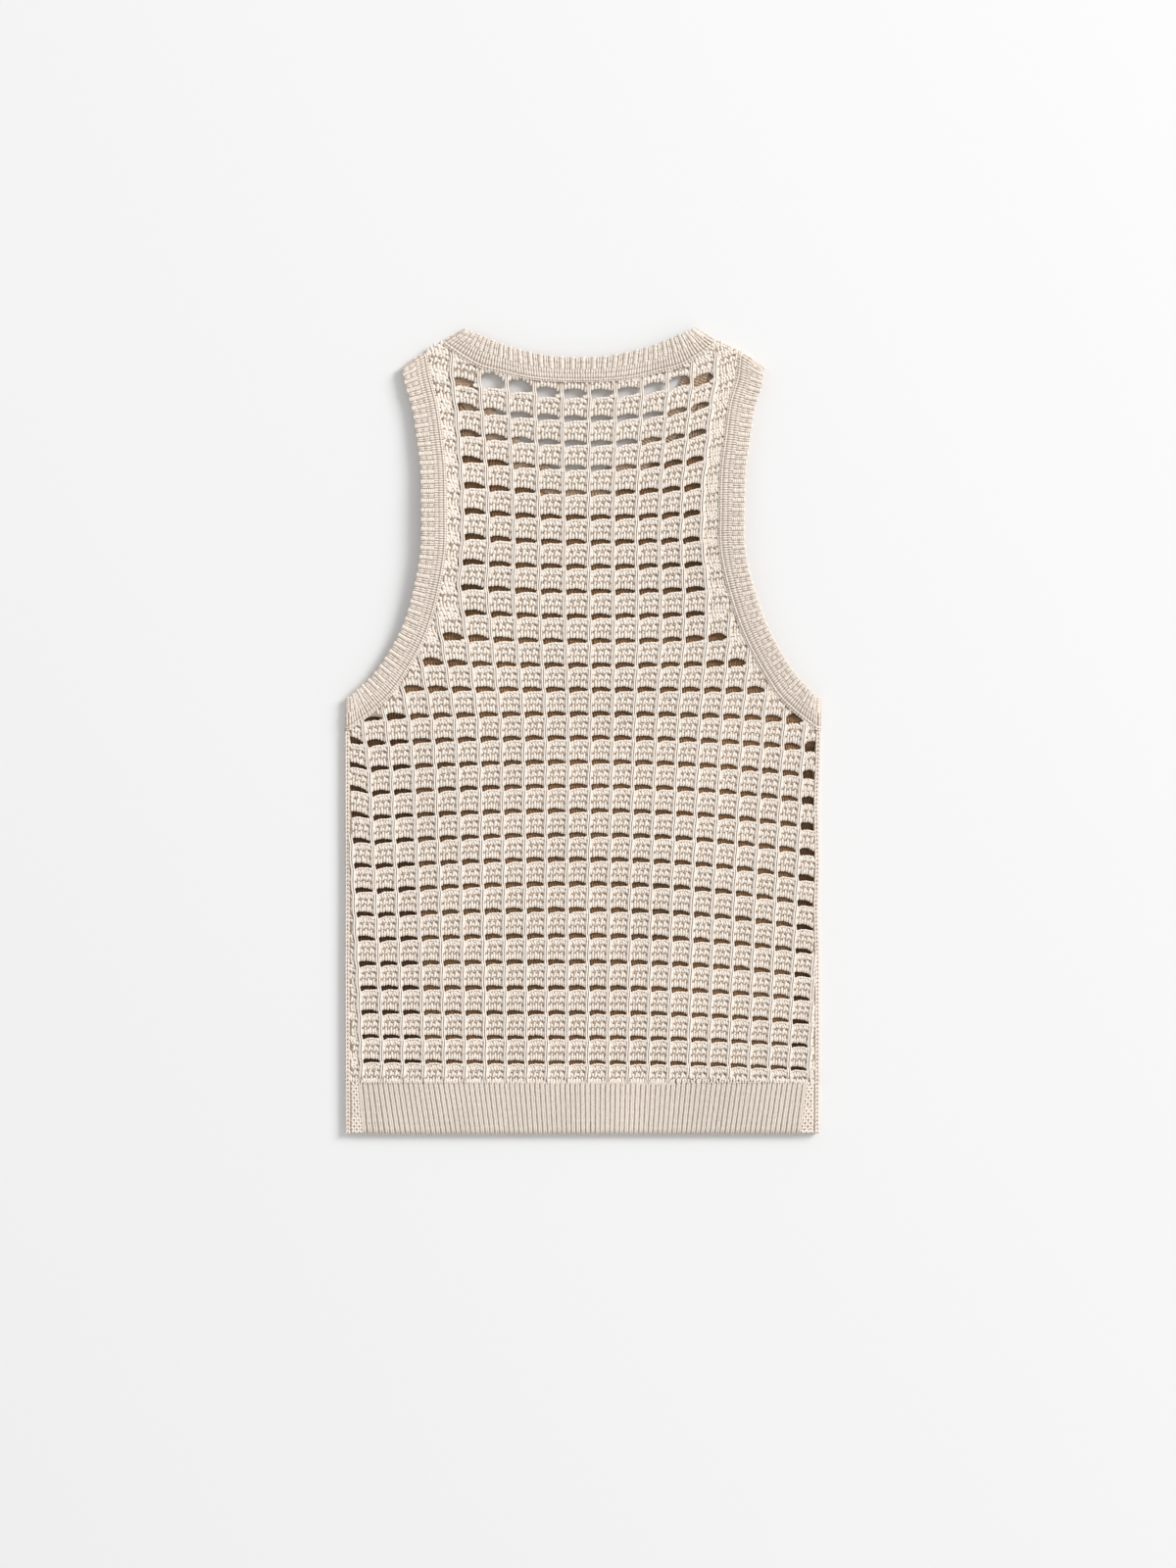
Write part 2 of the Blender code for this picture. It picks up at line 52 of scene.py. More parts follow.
# Garment, as in the part's source
HEM_EDGE_Y = -288.0
HEM_DEPTH = 36.4
SEAM = 0.3
BAND_WALL = 3.0
BACK_UNDER = BAND_WALL + SEAM
FOLD_REACH = BAND_WALL + SEAM / 2
FOLD_FADE = 4 * FOLD_REACH  # length in which a band's half bends in to its fold
SIDE_TURN = 0.6
SIDE_TURN_WIDTH = 9.0
ARMHOLE_LIFT = 3.5
ARMHOLE_X = 117.0
ARMHOLE_LIFT_SPREAD = 42.0
ARMHOLE_TOP_Y = 272.0
UNDERARM_Y = 1.0
NECK_LIFT = 0.6
NECK_X = -2.5
NECK_HALF_WIDTH = 82.4
NECK_LIFT_Y = 266.0
NECK_LIFT_SPREAD = 30.0

CURVE_SPANS = 12           # straight spans between two rows of a curve's table
NECK_POINTS = 60           # spans of a panel's outline along the neck
ARM_POINTS = 70            # and along an armhole
SIDE_POINTS = 26           # points along a side seam
SIDE_EDGE_TOP = UNDERARM_Y - 3.0
POINTS_AT_ONCE = 2000      # in one step of a measure of distances

# Soft ripples of the upper layer: middle x, middle y, half width, half length, height
RIPPLES = (
    (-92.0, -60.0, 26.0, 90.0, 1.2),
    (60.0, -120.0, 40.0, 60.0, 0.9),
    (20.0, 40.0, 50.0, 40.0, 0.6),
    (-40.0, -190.0, 50.0, 35.0, 0.8),
)

# Row, height, middle x, cord spacing, how the spacing shrinks to the right and to both
# sides, rise of the row to its left and right
GRID = np.array((
    (0, 240.5, 4.4, 19.2, -0.159, -0.015, 0.49, 0.49),
    (1, 222.7, 4.2, 18.9, -0.155, -0.027, 0.37, 0.43),
    (4, 169.9, 4.1, 17.8, -0.180, -0.026, 0.23, 0.20),
    (6, 134.7, 4.1, 17.4, -0.185, -0.015, 0.17, 0.08),
    (8, 99.4, 4.3, 17.5, -0.175, 0.008, 0.14, 0.08),
    (10, 64.1, 4.7, 17.2, -0.091, -0.003, 0.09, 0.08),
    (13, 12.3, 5.2, 15.9, -0.050, -0.001, -0.03, -0.05),
    (15, -22.0, 4.8, 15.6, -0.034, -0.002, -0.05, -0.09),
    (20, -108.9, 3.6, 15.0, -0.020, 0.0, -0.05, -0.13),
    (24, -183.1, 3.3, 14.7, -0.015, 0.0, 0.00, -0.07),
    (27, -236.3, 3.2, 14.5, -0.015, 0.0, 0.01, -0.04),
))
ROWS = 28
ROW_PITCH = (GRID[0, 1] - GRID[-1, 1]) / (ROWS - 1)
YOKE_SLOTS = 10
YOKE_END_ROW = 10
WIDENING = (12, 14, 16, 20)
BODY_SLOTS = 22
BLOCK_CORDS = range(-BODY_SLOTS // 2 - 1, BODY_SLOTS // 2 + 1)  # cords left of every block

# Row, how far its leftmost slot's middle lies above its row
LEFT_TIP = np.array((
    (13, 0.0), (14, 2.0), (15, 2.5), (16, 3.1), (17, 2.3), (18, 1.3), (20, 0.8), (22, 0.9), (23, 0.0),
))
# The top row follows the neck: cord left of the slot, slot height, rise above its row
TOP_ROW = np.array((
    (-5, 5.2, -2.0),
    (-4, 10.0, 3.0),
    (-3, 8.3, 2.2),
    (-2, 6.9, 0.0),
    (-1, 6.4, 0.0),
    (0, 5.6, 0.2),
    (1, 5.8, 0.6),
    (2, 6.6, 1.4),
    (3, 7.3, 3.0),
    (4, 7.3, 0.6),
))

# Side seams: height, left x, right x, from the hem up
SIDES = np.array((
    (-288.0, -169.6, 168.6),
    (-165.0, -170.0, 168.8),
    (-125.0, -169.8, 167.6),
    (-95.0, -169.8, 168.8),
    (-55.0, -170.0, 167.8),
    (-20.0, -170.0, 169.0),
    (23.5, -170.0, 170.0),
))

# Armhole band: edge height, left x, right x, slope of the section in degrees, width
ARMHOLE = (
    (259.6, -130.4, 130.2, 32.0, 19.6),
    (246.0, -126.7, 127.4, 18.0, 18.0),
    (229.0, -121.8, 122.0, 12.0, 17.5),
    (207.0, -118.3, 118.8, 6.0, 17.2),
    (186.0, -115.8, 115.8, 2.0, 17.0),
    (158.0, -115.3, 114.9, 0.0, 17.0),
    (130.0, -115.6, 115.2, -4.0, 17.0),
    (102.0, -120.4, 121.4, -13.0, 17.0),
    (74.0, -128.8, 131.4, -26.0, 17.2),
    (46.0, -144.9, 147.0, -40.0, 17.6),
    (32.0, -158.0, 159.0, -50.0, 18.4),
    (23.5, -170.0, 170.0, -90.0, 21.5),
)

# Neck band, right half of each side: edge x from the neck's middle, edge y, seam x, seam y
NECK_BACK = (
    (0.0, 266.0, 0.0, 250.0),
    (20.0, 267.0, 19.0, 250.4),
    (40.0, 271.0, 38.0, 252.3),
    (55.0, 275.5, 56.0, 256.6),
    (68.0, 281.0, 75.0, 262.3),
    (NECK_HALF_WIDTH, 288.0, 97.5, 278.4),
)
NECK_FRONT = (
    (NECK_HALF_WIDTH, 288.0, 97.5, 278.4),
    (78.0, 268.0, 94.5, 262.0),
    (71.0, 247.5, 88.0, 241.0),
    (60.0, 228.0, 76.0, 219.0),
    (44.0, 209.0, 58.0, 197.0),
    (21.5, 189.0, 29.0, 171.5),
    (0.0, 181.0, 0.0, 163.0),
)

# Walls of cloth that carry the strands
BASE_WALL = 1.1
BACK_SPREAD = 9.0          # distance between the points inside the upper panel's wall
FRONT_SPREAD = 18.0
SPREAD_HALF_WIDTH = 168.0
SPREAD_MARGIN = 2.5        # least distance of such a point from the panel's edge
RIM_BOX_MARGIN = 1.0       # and from a slot
FRONT_LOW = 0.6
FRONT_HIGH = 1.7
FRONT_SHIFT = 0.5          # the front's slots lie half a row lower than the back's
FRONT_OUTER_LEVEL = 0.45
FRONT_INNER_LEVEL = 1.95
PALE_SHADE_ROWS = 3             # painted shade on the lower panel is paler behind the first rows of slots,
DEEP_SHADE_FIRST_ROW = 13        # and deepest behind the lower left ones
DEEP_SHADE_CORDS_END = -8
DEEP_SHADE_CORD_RIGHT = 10       # and behind the last ones on the right
SIDE_COLUMNS_END = 4.0     # width of the plain columns along a side seam

# Visible upper and lower edge of a slot: place across from cord to cord, and down from
# the row's line as a share of the row pitch
SLOT_TOP = np.array((
    (0.050, -0.040), (0.140, -0.075), (0.330, -0.102), (0.500, -0.105), (0.660, -0.085),
    (0.800, -0.045), (0.930, 0.020),
))
SLOT_BOTTOM = np.array((
    (0.050, 0.200), (0.110, 0.215), (0.180, 0.150), (0.280, 0.100), (0.430, 0.076),
    (0.600, 0.076), (0.740, 0.078), (0.850, 0.085), (0.930, 0.060),
))
# Upper edge of the top row's slots, as a share of their reach
TOP_ROW_TOP = np.array((
    (0.040, -0.50), (0.110, -0.85), (0.300, -1.00), (0.550, -0.96), (0.760, -0.78), (0.860, -0.50),
    (0.930, 0.00),
))
# Row, how far its slots reach up and down beside those edges
SLOT_SCALE = np.array((
    (1, 1.20, 1.15), (3, 1.10, 1.10), (5, 1.00, 1.00), (9, 0.95, 0.95), (13, 0.95, 1.00),
    (16, 0.90, 0.92), (24, 0.85, 0.88), (27, 0.65, 0.65),
))
# Row, how much taller its outermost slots are, as a share
TALL_EDGES = np.array((
    (1, 0.15), (9, 0.10), (10, 0.70), (11, 0.70), (12, 0.20), (13, 0.50), (14, 0.60), (15, 0.0),
))
# Row, how much taller still its last slot on the right is
TALL_RIGHT = np.array(((12, 0.0), (13, 0.5), (14, 1.1), (15, 0.9), (17, 0.7), (19, 0.35), (22, 0.0)))
# Row, how far the right half's slots tilt up to the right, as a share of the row pitch
RIGHT_TILT = np.array(((0, 0.10), (5, 0.09), (8, 0.05), (12, 0.0)))
TILT_CORDS = 3.0           # cords from the middle by which the tilt is full
TOP_ROW_DOWN = 1.2         # how far the top row's slots reach down
SLOT_MIDDLE = 0.080        # lower edge of a usual slot at its middle
BLOCK_SQUEEZE = 0.7        # share of a block that gives way to a slot that lies low
RIM_ACROSS = (0.06, 0.915)  # where the ground's slots begin and end from cord to cord
RIM_TRIALS = 40
RIM_STEPS = 6
RIM_MARGIN = 0.4           # least distance of a slot from its panel's edge
SLOT_TO_SIDE = 3.2         # and from a side seam
SHARES_CUT = (1.0, 0.75, 0.55)  # shares of a slot's height that may be cut near an edge
LONGER_CUT = 1.3           # how much longer a lower cut has to be to be taken
SHORTEST_RIM = 0.35        # least share of a slot that is cut where the panel ends
RIM_HIDDEN = 0.028         # how far the rim of the ground lies behind the strands' edge

# Strands of a block that keep their place: start across and down, end across and down, width
BLOCK_STRANDS = (
    # slanting strands of the upper courses
    (0.095, 0.230, 0.150, 0.430, 2.2),
    (0.130, 0.160, 0.250, 0.390, 2.4),
    (0.245, 0.125, 0.385, 0.370, 2.5),
    (0.375, 0.110, 0.510, 0.380, 2.4),
    (0.495, 0.110, 0.650, 0.365, 2.5),
    (0.625, 0.120, 0.775, 0.350, 2.4),
    (0.755, 0.145, 0.880, 0.370, 2.3),
    (0.860, 0.200, 0.930, 0.400, 1.9),
    # stitches that open upward round the marks of the slanting course
    (0.195, 0.380, 0.280, 0.620, 2.4),
    (0.445, 0.370, 0.355, 0.680, 2.4),
    (0.465, 0.380, 0.550, 0.610, 2.4),
    (0.705, 0.350, 0.620, 0.680, 2.4),
    (0.735, 0.380, 0.815, 0.620, 2.4),
    (0.935, 0.380, 0.880, 0.680, 2.1),
    (0.100, 0.390, 0.130, 0.680, 2.1),
)
# Legs above the next slot: place across at their start and their end, and their length
LAST_LEGS = (
    (0.125, 0.100, 0.27), (0.235, 0.245, 0.33), (0.375, 0.355, 0.25), (0.485, 0.500, 0.34),
    (0.625, 0.605, 0.26), (0.740, 0.740, 0.33), (0.880, 0.850, 0.27),
)
LAST_LEG_WIDTH = 2.15
LAST_LEG_OVER = 0.012      # how far a strand's tip hangs over the slot's edge
LAST_LEG_NO_SLOT = -0.09   # where it ends, from the next row's line, if there is no slot
# Arch under a slot: start and end across, both just under the slot's lower edge
ARCH_STRANDS = (
    (0.085, 0.180), (0.140, 0.270), (0.235, 0.400), (0.365, 0.530), (0.500, 0.660), (0.620, 0.770),
)
ARCH_DROP = 0.050
ARCH_WIDTH = 1.9
ARCH_RISE = 0.35           # extra height of these strands
CROSSING_RISE = 0.45       # and of the next
# Strands that cross from a slot's right end into the next cord
CROSSING = (
    (0.765, 0.080, 0.850, 0.220, 1.7),
    (0.835, 0.065, 0.915, 0.220, 1.6),
    (0.895, 0.025, 0.970, 0.210, 1.5),
    (0.935, -0.050, 1.005, 0.190, 1.3),
)
# Legs in place of a missing cord: places across, distance down and length
GAP_LEGS = (0.93, 1.04)
GAP_LEG_TOPS = np.arange(-0.1, 0.9, 0.25)
GAP_LEG_LENGTH = 0.27
GAP_LEG_WIDTH = 1.8
GAP_LEG_LEAN = 0.01
# Strands in place of a missing slot
FILLING = (
    *((across, start, across + 0.120, end, 2.4) for across, start, end in (
        (0.080, -0.160, 0.100), (0.210, -0.170, 0.080), (0.340, -0.170, 0.070),
        (0.470, -0.170, 0.070), (0.600, -0.160, 0.080), (0.730, -0.140, 0.100),
        (0.100, 0.020, 0.230), (0.240, 0.000, 0.210), (0.380, 0.000, 0.200))),
    (0.510, 0.000, 0.640, 0.200, 2.4),
    (0.640, 0.010, 0.770, 0.210, 2.4),
    (0.770, 0.040, 0.880, 0.220, 2.2),
)
# Dark spindles of painted shade in the hollows between the strands: start and end, width
HOLLOWS = (
    (0.215, 0.390, 0.320, 0.455, 1.00),
    (0.480, 0.390, 0.590, 0.455, 1.00),
    (0.755, 0.350, 0.850, 0.430, 1.20),
    (0.160, 0.610, 0.190, 0.665, 1.15),
    (0.410, 0.600, 0.435, 0.655, 1.15),
    (0.665, 0.600, 0.690, 0.655, 1.10),
    (0.300, 0.700, 0.303, 0.750, 0.70),
    (0.552, 0.560, 0.553, 0.610, 0.80),
    (0.806, 0.700, 0.808, 0.750, 0.70),
    (0.365, 0.185, 0.405, 0.220, 0.80),
    (0.600, 0.205, 0.640, 0.240, 0.80),
)
# The same in place of a missing slot
FILLING_HOLLOWS = (
    (0.150, -0.040, 0.215, 0.020, 0.95),
    (0.410, -0.050, 0.475, 0.010, 0.95),
    (0.670, -0.040, 0.735, 0.020, 0.95),
    (0.255, 0.170, 0.325, 0.215, 0.85),
    (0.780, 0.160, 0.850, 0.215, 0.95),
)
# A slit of painted shade beside the outermost cord on the left
SLIT_BESIDE_CORD = (0.900, 0.010, 0.925, 0.150, 1.40)
HOLLOW_LEVEL = 2.15        # middle of a hollow above the upper layer's underside
PITCH_OF_WIDTHS = 17.2     # cord spacing for which strand widths are given

# Path of a cord between two slots: place down, offset across
CORD_PATH = (
    (0.00, -0.15), (0.10, 0.15), (0.20, 0.42), (0.32, 0.35), (0.46, 0.08), (0.62, -0.15),
    (0.80, -0.25),
)
CORD_STRAND_GAP = 0.75     # half the distance between a cord's two strands
CORD_STRAND_WIDTH = 1.12
CORD_STRAND_HEIGHT = 1.50
CORD_LEVEL = 2.20          # a cord's middle above the upper layer's underside
EDGE_CORD_WIDENING = 1.08  # how much wider the outermost cords are
STRAND_LEVEL = 1.45        # middle of a block's strands above the same underside
STRAND_THICKNESS = 1.25
STRAND_ARCH = 0.35
SEAM_ARCH = 0.3            # of the strands along seams
STRAND_ENDS_DOWN = 0.15    # how far their ends lie below their middle's level
STRAND_WIDTHS = (0.90, 1.08)  # least and greatest share of a strand's width
HOLLOW_WIDTHS = (0.75, 1.2)
HOLLOW_THICKNESS = 0.35
PLACE_JITTER = 0.009
LEVEL_JITTER = 0.06
STRAND_MARGIN = 0.7        # least distance of a strand's middle from its panel's edge
STRAND_TRIANGLES = 30
PIECE_TRIANGLES = 180000
CORD_MARGIN = 0.4          # least distance of a cord from its panel's edge

# Outer side of the lower panel: start and end down, how far the strands open to both sides
OUTER_COURSES = ((0.60, 0.90, 0.0), (0.20, 0.55, 0.03))
OUTER_WIDTH = 2.2
# Its inner side behind a slot, in painted shade: places across, and how far the strands reach up and
# down
INNER_ACROSS = np.arange(0.06, 0.98, 0.115)
INNER_TOP = -0.26
INNER_BOTTOM = 0.34
INNER_LEAN = 0.02
INNER_WIDTH = 2.0
FRONT_THICKNESS = 0.8


def smooth(rows):
    """A Catmull-Rom curve through the rows of a table."""
    table = np.array(rows, dtype=float)
    ends = np.vstack([2 * table[0] - table[1], table, 2 * table[-1] - table[-2]])
    curve = []
    for i in range(1, len(ends) - 2):
        before, start, end, after = ends[i - 1:i + 3]
        for step in range(CURVE_SPANS):
            t = step / CURVE_SPANS
            curve.append(0.5 * (2 * start + (end - before) * t
                                + (2 * before - 5 * start + 4 * end - after) * t ** 2
                                + (3 * start - before - 3 * end + after) * t ** 3))
    curve.append(table[-1])
    return np.array(curve)


def run_of(curve):
    """Distance along a curve at each of its rows, by its first two columns."""
    return np.concatenate([[0.0], np.cumsum(np.hypot(*np.diff(curve[:, :2], axis=0).T))])


def at_run(curve, run, marks):
    """Rows of a curve at given distances along it."""
    return np.stack([np.interp(marks, run, column) for column in curve.T], axis=-1)


def unit_rows(rows):
    return rows / np.linalg.norm(rows, axis=1)[:, None]


def evenly(curve, count):
    run = run_of(curve)
    return at_run(curve, run, np.linspace(0.0, run[-1], count + 1))


def side_x(y, side):
    return np.interp(y, SIDES[:, 0], SIDES[:, 1 if side < 0 else 2])


def to_side(x, y):
    """Distance of a place from the nearer side seam."""
    return np.where(x < 0, x - side_x(y, -1), side_x(y, 1) - x)


def lift(x, y):
    """How far the upper layer stands above its lowest place."""
    share = np.clip((y - UNDERARM_Y) / (ARMHOLE_TOP_Y - UNDERARM_Y), 0.0, 1.0)
    inward = np.maximum(0.0, ARMHOLE_X - np.abs(x)) / ARMHOLE_LIFT_SPREAD
    height = ARMHOLE_LIFT * np.sin(math.pi * share) ** 2 * np.exp(-inward ** 2)
    across = np.minimum(1.0, np.abs(x - NECK_X) / NECK_HALF_WIDTH)
    below = (NECK_LIFT_Y - y) / NECK_LIFT_SPREAD
    height = height + NECK_LIFT * np.cos(math.pi / 2 * across) ** 2 * np.exp(-below ** 2)
    for mid_x, mid_y, half_width, half_length, crest in RIPPLES:
        away = ((x - mid_x) / half_width) ** 2 + ((y - mid_y) / half_length) ** 2
        height = height + crest * np.exp(-away)
    return height


def back_under(x, y):
    """Underside of the upper layer, which dips to the lower layer at the side seams."""
    x, y = np.asarray(x, dtype=float), np.asarray(y, dtype=float)
    near = np.clip(to_side(x, y) / SIDE_TURN_WIDTH, 0.0, 1.0)
    near = np.where(y < UNDERARM_Y + 1.0, near, 1.0)
    return BACK_UNDER - SIDE_TURN * (1.0 - near) + lift(x, y) * near


def on_back(x, y, level):
    """Points at a level above the upper layer's underside."""
    return np.column_stack([x, y, back_under(x, y) + level])


def at_height(x, y, height):
    return np.column_stack([x, y, np.full(len(x), height)])


def grid_place(cord, row):
    """Places on the garment for cords counted from the middle and rows from the neck."""
    cord, row = np.asarray(cord, dtype=float), np.asarray(row, dtype=float)
    y, x, pitch, skew, narrowing, left, right = (np.interp(row, GRID[:, 0], GRID[:, i])
                                                 for i in range(1, GRID.shape[1]))
    beyond = row - np.clip(row, 0, ROWS - 1)
    rise = np.where(cord < 0, left, right)
    tip = np.interp(row, *LEFT_TIP.T) * np.clip(1.0 - BODY_SLOTS // 2 - cord, 0.0, 1.0) * 2
    return (x + pitch * cord + skew * cord ** 2 + narrowing * cord ** 3,
            y + rise * cord ** 2 - beyond * ROW_PITCH + tip)


def pitch_at(cord, row):
    """Distance between two cords beside a place."""
    return grid_place(cord + 0.5, row)[0] - grid_place(cord - 0.5, row)[0]


def slots_in_row(row):
    if row < 0 or row >= ROWS:
        return 0
    if row < YOKE_END_ROW:
        return YOKE_SLOTS
    if row < YOKE_END_ROW + len(WIDENING):
        return WIDENING[row - YOKE_END_ROW]
    return BODY_SLOTS


def has_slot(cord, row):
    half = slots_in_row(row) // 2
    return -half <= cord < half


def armhole_curve(side):
    """Free edge and seam of an armhole band, from the shoulder to the underarm."""
    rows = []
    for y, left, right, slope, width in ARMHOLE:
        x = left if side < 0 else right
        angle = math.radians(slope)
        rows.append((x, y, x - side * width * math.cos(angle), y + width * math.sin(angle)))
    return smooth(rows)


def mirrored_neck(rows):
    left, right = ([(NECK_X + side * edge, y, NECK_X + side * seam, seam_y)
                    for edge, y, seam, seam_y in rows] for side in (-1, 1))
    if rows[0][0] == 0.0:
        return smooth(left[::-1] + right[1:])
    return smooth(right + left[::-1][1:])


def pulled_in(curve, start_out, end_out):
    """A band's half with its end sections on the fold lines, behind the folds' reach."""
    run = run_of(curve)
    start, end = (np.clip(1 - away / FOLD_FADE, 0, 1)[:, None] * FOLD_REACH * np.tile(out, 2)
                  for away, out in ((run, start_out), (run[-1] - run, end_out)))
    return curve - start - end


def fold_out(section, toward):
    """Unit vector square to a section, on the side that a given direction lies."""
    along = section[2:] - section[:2]
    along = along / np.linalg.norm(along)
    square = np.array([-along[1], along[0]])
    return square if square @ np.array(toward) > 0 else -square


def armhole_halves(side):
    curve = armhole_curve(side)
    shoulder = fold_out(curve[0], (side, 1.0))
    underarm = np.array([float(side), 0.0])
    curve = pulled_in(curve, shoulder, underarm)
    return curve, curve[::-1], shoulder, underarm


def neck_halves():
    back, front = mirrored_neck(NECK_BACK), mirrored_neck(NECK_FRONT)
    left = fold_out(back[0], (-1.0, 1.0))
    right = fold_out(back[-1], (1.0, 1.0))
    return pulled_in(back, left, right), pulled_in(front, right, left), left, right


def seam_line(rows):
    """Panel edge that runs a small gap inside a band."""
    across = rows[:, 2:] - rows[:, :2]
    return rows[:, 2:] + unit_rows(across) * SEAM


def panel_outline(front):
    """A panel's outline, from the neck's left shoulder round by the right side."""
    back_half, front_half, left, right = neck_halves()
    half = front_half[::-1] if front else back_half
    line = seam_line(evenly(half, NECK_POINTS))
    neck = [line[0] + left * FOLD_REACH, *line, line[-1] + right * FOLD_REACH]
    arms = {}
    for side in (-1, 1):
        curve, _, shoulder, underarm = armhole_halves(side)
        seam = seam_line(evenly(curve, ARM_POINTS))
        arms[side] = [seam[0] + shoulder * FOLD_REACH, *seam, seam[-1] + underarm * FOLD_REACH]
    heights = np.linspace(SIDE_EDGE_TOP, HEM_EDGE_Y + HEM_DEPTH, SIDE_POINTS)
    left_side, right_side = ([np.array([side_x(y, side), y]) for y in heights] for side in (-1, 1))
    return np.array(neck + arms[1] + right_side + left_side[::-1] + arms[-1][::-1])


def clearance(points, outline):
    """Distance of points inside an outline from its edge, below zero for those outside."""
    result = []
    along = np.roll(outline, -1, axis=0) - outline
    square = (along ** 2).sum(axis=1)
    for chunk in np.array_split(points, max(1, len(points) // POINTS_AT_ONCE)):
        away = chunk[:, None, :] - outline[None]
        share = np.clip((away * along).sum(axis=2) / square, 0.0, 1.0)
        gap = np.hypot(*np.moveaxis(away - along * share[..., None], 2, 0)).min(axis=1)
        above = outline[:, 1] > chunk[:, 1:2]
        crosses = above != (outline[:, 1] + along[:, 1] > chunk[:, 1:2])
        slope = along[:, 0] / np.where(along[:, 1] == 0, 1.0, along[:, 1])
        reach = outline[:, 0] + slope * away[:, :, 1]
        inside = (crosses & (reach > chunk[:, :1])).sum(axis=1) % 2 == 1
        result.append(np.where(inside, gap, -gap))
    return np.concatenate(result)


def add_mesh(name, points, faces, materials, material_of_face=None):
    """A smooth mesh from points in millimetres and one or more arrays of faces."""
    mesh = bpy.data.meshes.new(name)
    faces = [np.asarray(block, dtype=np.int32) for block in faces if len(block)]
    sizes = np.concatenate([np.full(len(block), block.shape[1]) for block in faces])
    loops = np.concatenate([block.ravel() for block in faces])
    mesh.vertices.add(len(points))
    mesh.vertices.foreach_set("co", (np.asarray(points, dtype=np.float32) * MM).ravel())
    mesh.loops.add(len(loops))
    mesh.loops.foreach_set("vertex_index", loops)
    mesh.polygons.add(len(sizes))
    mesh.polygons.foreach_set("loop_start", np.concatenate([[0], np.cumsum(sizes)[:-1]]))
    mesh.polygons.foreach_set("loop_total", sizes)
    if material_of_face is not None:
        mesh.polygons.foreach_set("material_index", material_of_face)
    mesh.update(calc_edges=True)
    mesh.validate()
    mesh.shade_smooth()
    for material in materials:
        mesh.materials.append(material)
    made = bpy.data.objects.new(name, mesh)
    bpy.context.scene.collection.objects.link(made)
    return made


# Sides of a strand, and its rings: place along it and girth there
FULL_STRAND = (5, ((0.12, 0.76), (0.5, 1.0), (0.88, 0.76)))
PLAIN_STRAND = (4, ((0.25, 0.85), (0.75, 0.85)))
SMALL_STRAND = (4, ((0.5, 1.0),))
TUBE_TIP = 0.35            # girth of a tube's first and last ring


def add_leaves(name, start, end, up, width, thickness, arch, material, shape=FULL_STRAND):
    """One mesh of short strands, each a plump spindle bowed away from the cloth.

    Width, thickness and arch are numbers or one for each.
    """
    start, end = np.array(start), np.array(end)
    count = len(start)
    up = np.broadcast_to(np.array(up, dtype=float), (count, 3))
    width, thickness, arch = (np.broadcast_to(np.array(v, dtype=float), (count,))
                              for v in (width, thickness, arch))
    sides, rings_at = shape
    along = end - start
    side = unit_rows(np.cross(along, up))
    top = unit_rows(np.cross(side, along))
    rings = []
    for share, girth in rings_at:
        middle = start + along * share + top * (arch * 4 * share * (1 - share))[:, None]
        for corner in range(sides):
            angle = 2 * math.pi * (corner + 0.25) / sides
            rings.append(middle + side * (math.cos(angle) * width / 2 * girth)[:, None]
                         + top * (math.sin(angle) * thickness / 2 * girth)[:, None])
    points = np.stack([start, *rings, end], axis=1).reshape(-1, 3)
    last = 1 + sides * len(rings_at)
    fans, bands = [], []
    for i in range(sides):
        j = (i + 1) % sides
        fans.append((0, 1 + j, 1 + i))
        fans.append((last, last - sides + i, last - sides + j))
        for ring in range(len(rings_at) - 1):
            low, high = 1 + ring * sides, 1 + (ring + 1) * sides
            bands.append((low + i, low + j, high + j, high + i))
    offset = (np.arange(count) * (last + 1))[:, None, None]
    fans = (np.array(fans)[None] + offset).reshape(-1, 3)
    bands = (np.array(bands)[None] + offset).reshape(-1, 4)
    return add_mesh(name, points, [fans, bands], [material])


def tube_parts(path, up, half_width, half_height, sides, girth=1.0):
    """Points and faces of one closed tube along a path; girth may vary from point to point."""
    along = np.gradient(path, axis=0)
    side = unit_rows(np.cross(along, up))
    top = unit_rows(np.cross(side, along))
    girth = np.ones(len(path)) * girth
    girth[[0, -1]] *= TUBE_TIP
    angles = 2 * math.pi * np.arange(sides) / sides
    across = side[:, None] * (np.cos(angles) * half_width)[None, :, None]
    upward = top[:, None] * (np.sin(angles) * half_height)[None, :, None]
    points = path[:, None] + (across + upward) * girth[:, None, None]
    ring = np.arange(sides)
    after = (ring + 1) % sides
    steps = np.arange(len(path) - 1)[:, None] * sides
    bands = np.stack([steps + ring, steps + after, steps + sides + after, steps + sides + ring],
                     axis=-1).reshape(-1, 4)
    tips = np.array([path[0], path[-1]])
    first, last = len(path) * sides, len(path) * sides + 1
    end = (len(path) - 1) * sides
    fans = [(first, after[i], ring[i]) for i in range(sides)]
    fans += [(last, end + ring[i], end + after[i]) for i in range(sides)]
    return np.vstack([points.reshape(-1, 3), tips]), np.array(fans), bands


def join_parts(parts):
    """Several sets of points and faces as one."""
    points, fans, bands, offset = [], [], [], 0
    for some_points, some_fans, some_bands in parts:
        points.append(some_points)
        fans.append(some_fans + offset)
        bands.append(some_bands + offset)
        offset += len(some_points)
    return np.vstack(points), [np.vstack(fans), np.vstack(bands)]


BROAD_SHARE = 0.35         # share of the broad patches in a yarn's tones, beside the fine ones
TONE_ENDS = (0.30, 0.68)   # noise at which the darkest and the lightest tone begin
DARK_FLECK = 1.6           # how much further the tones reach down than up


def set_values(node, **values):
    """Sets a node's sockets, named with underscores for spaces."""
    for socket, value in values.items():
        node.inputs[socket.replace("_", " ")].default_value = value


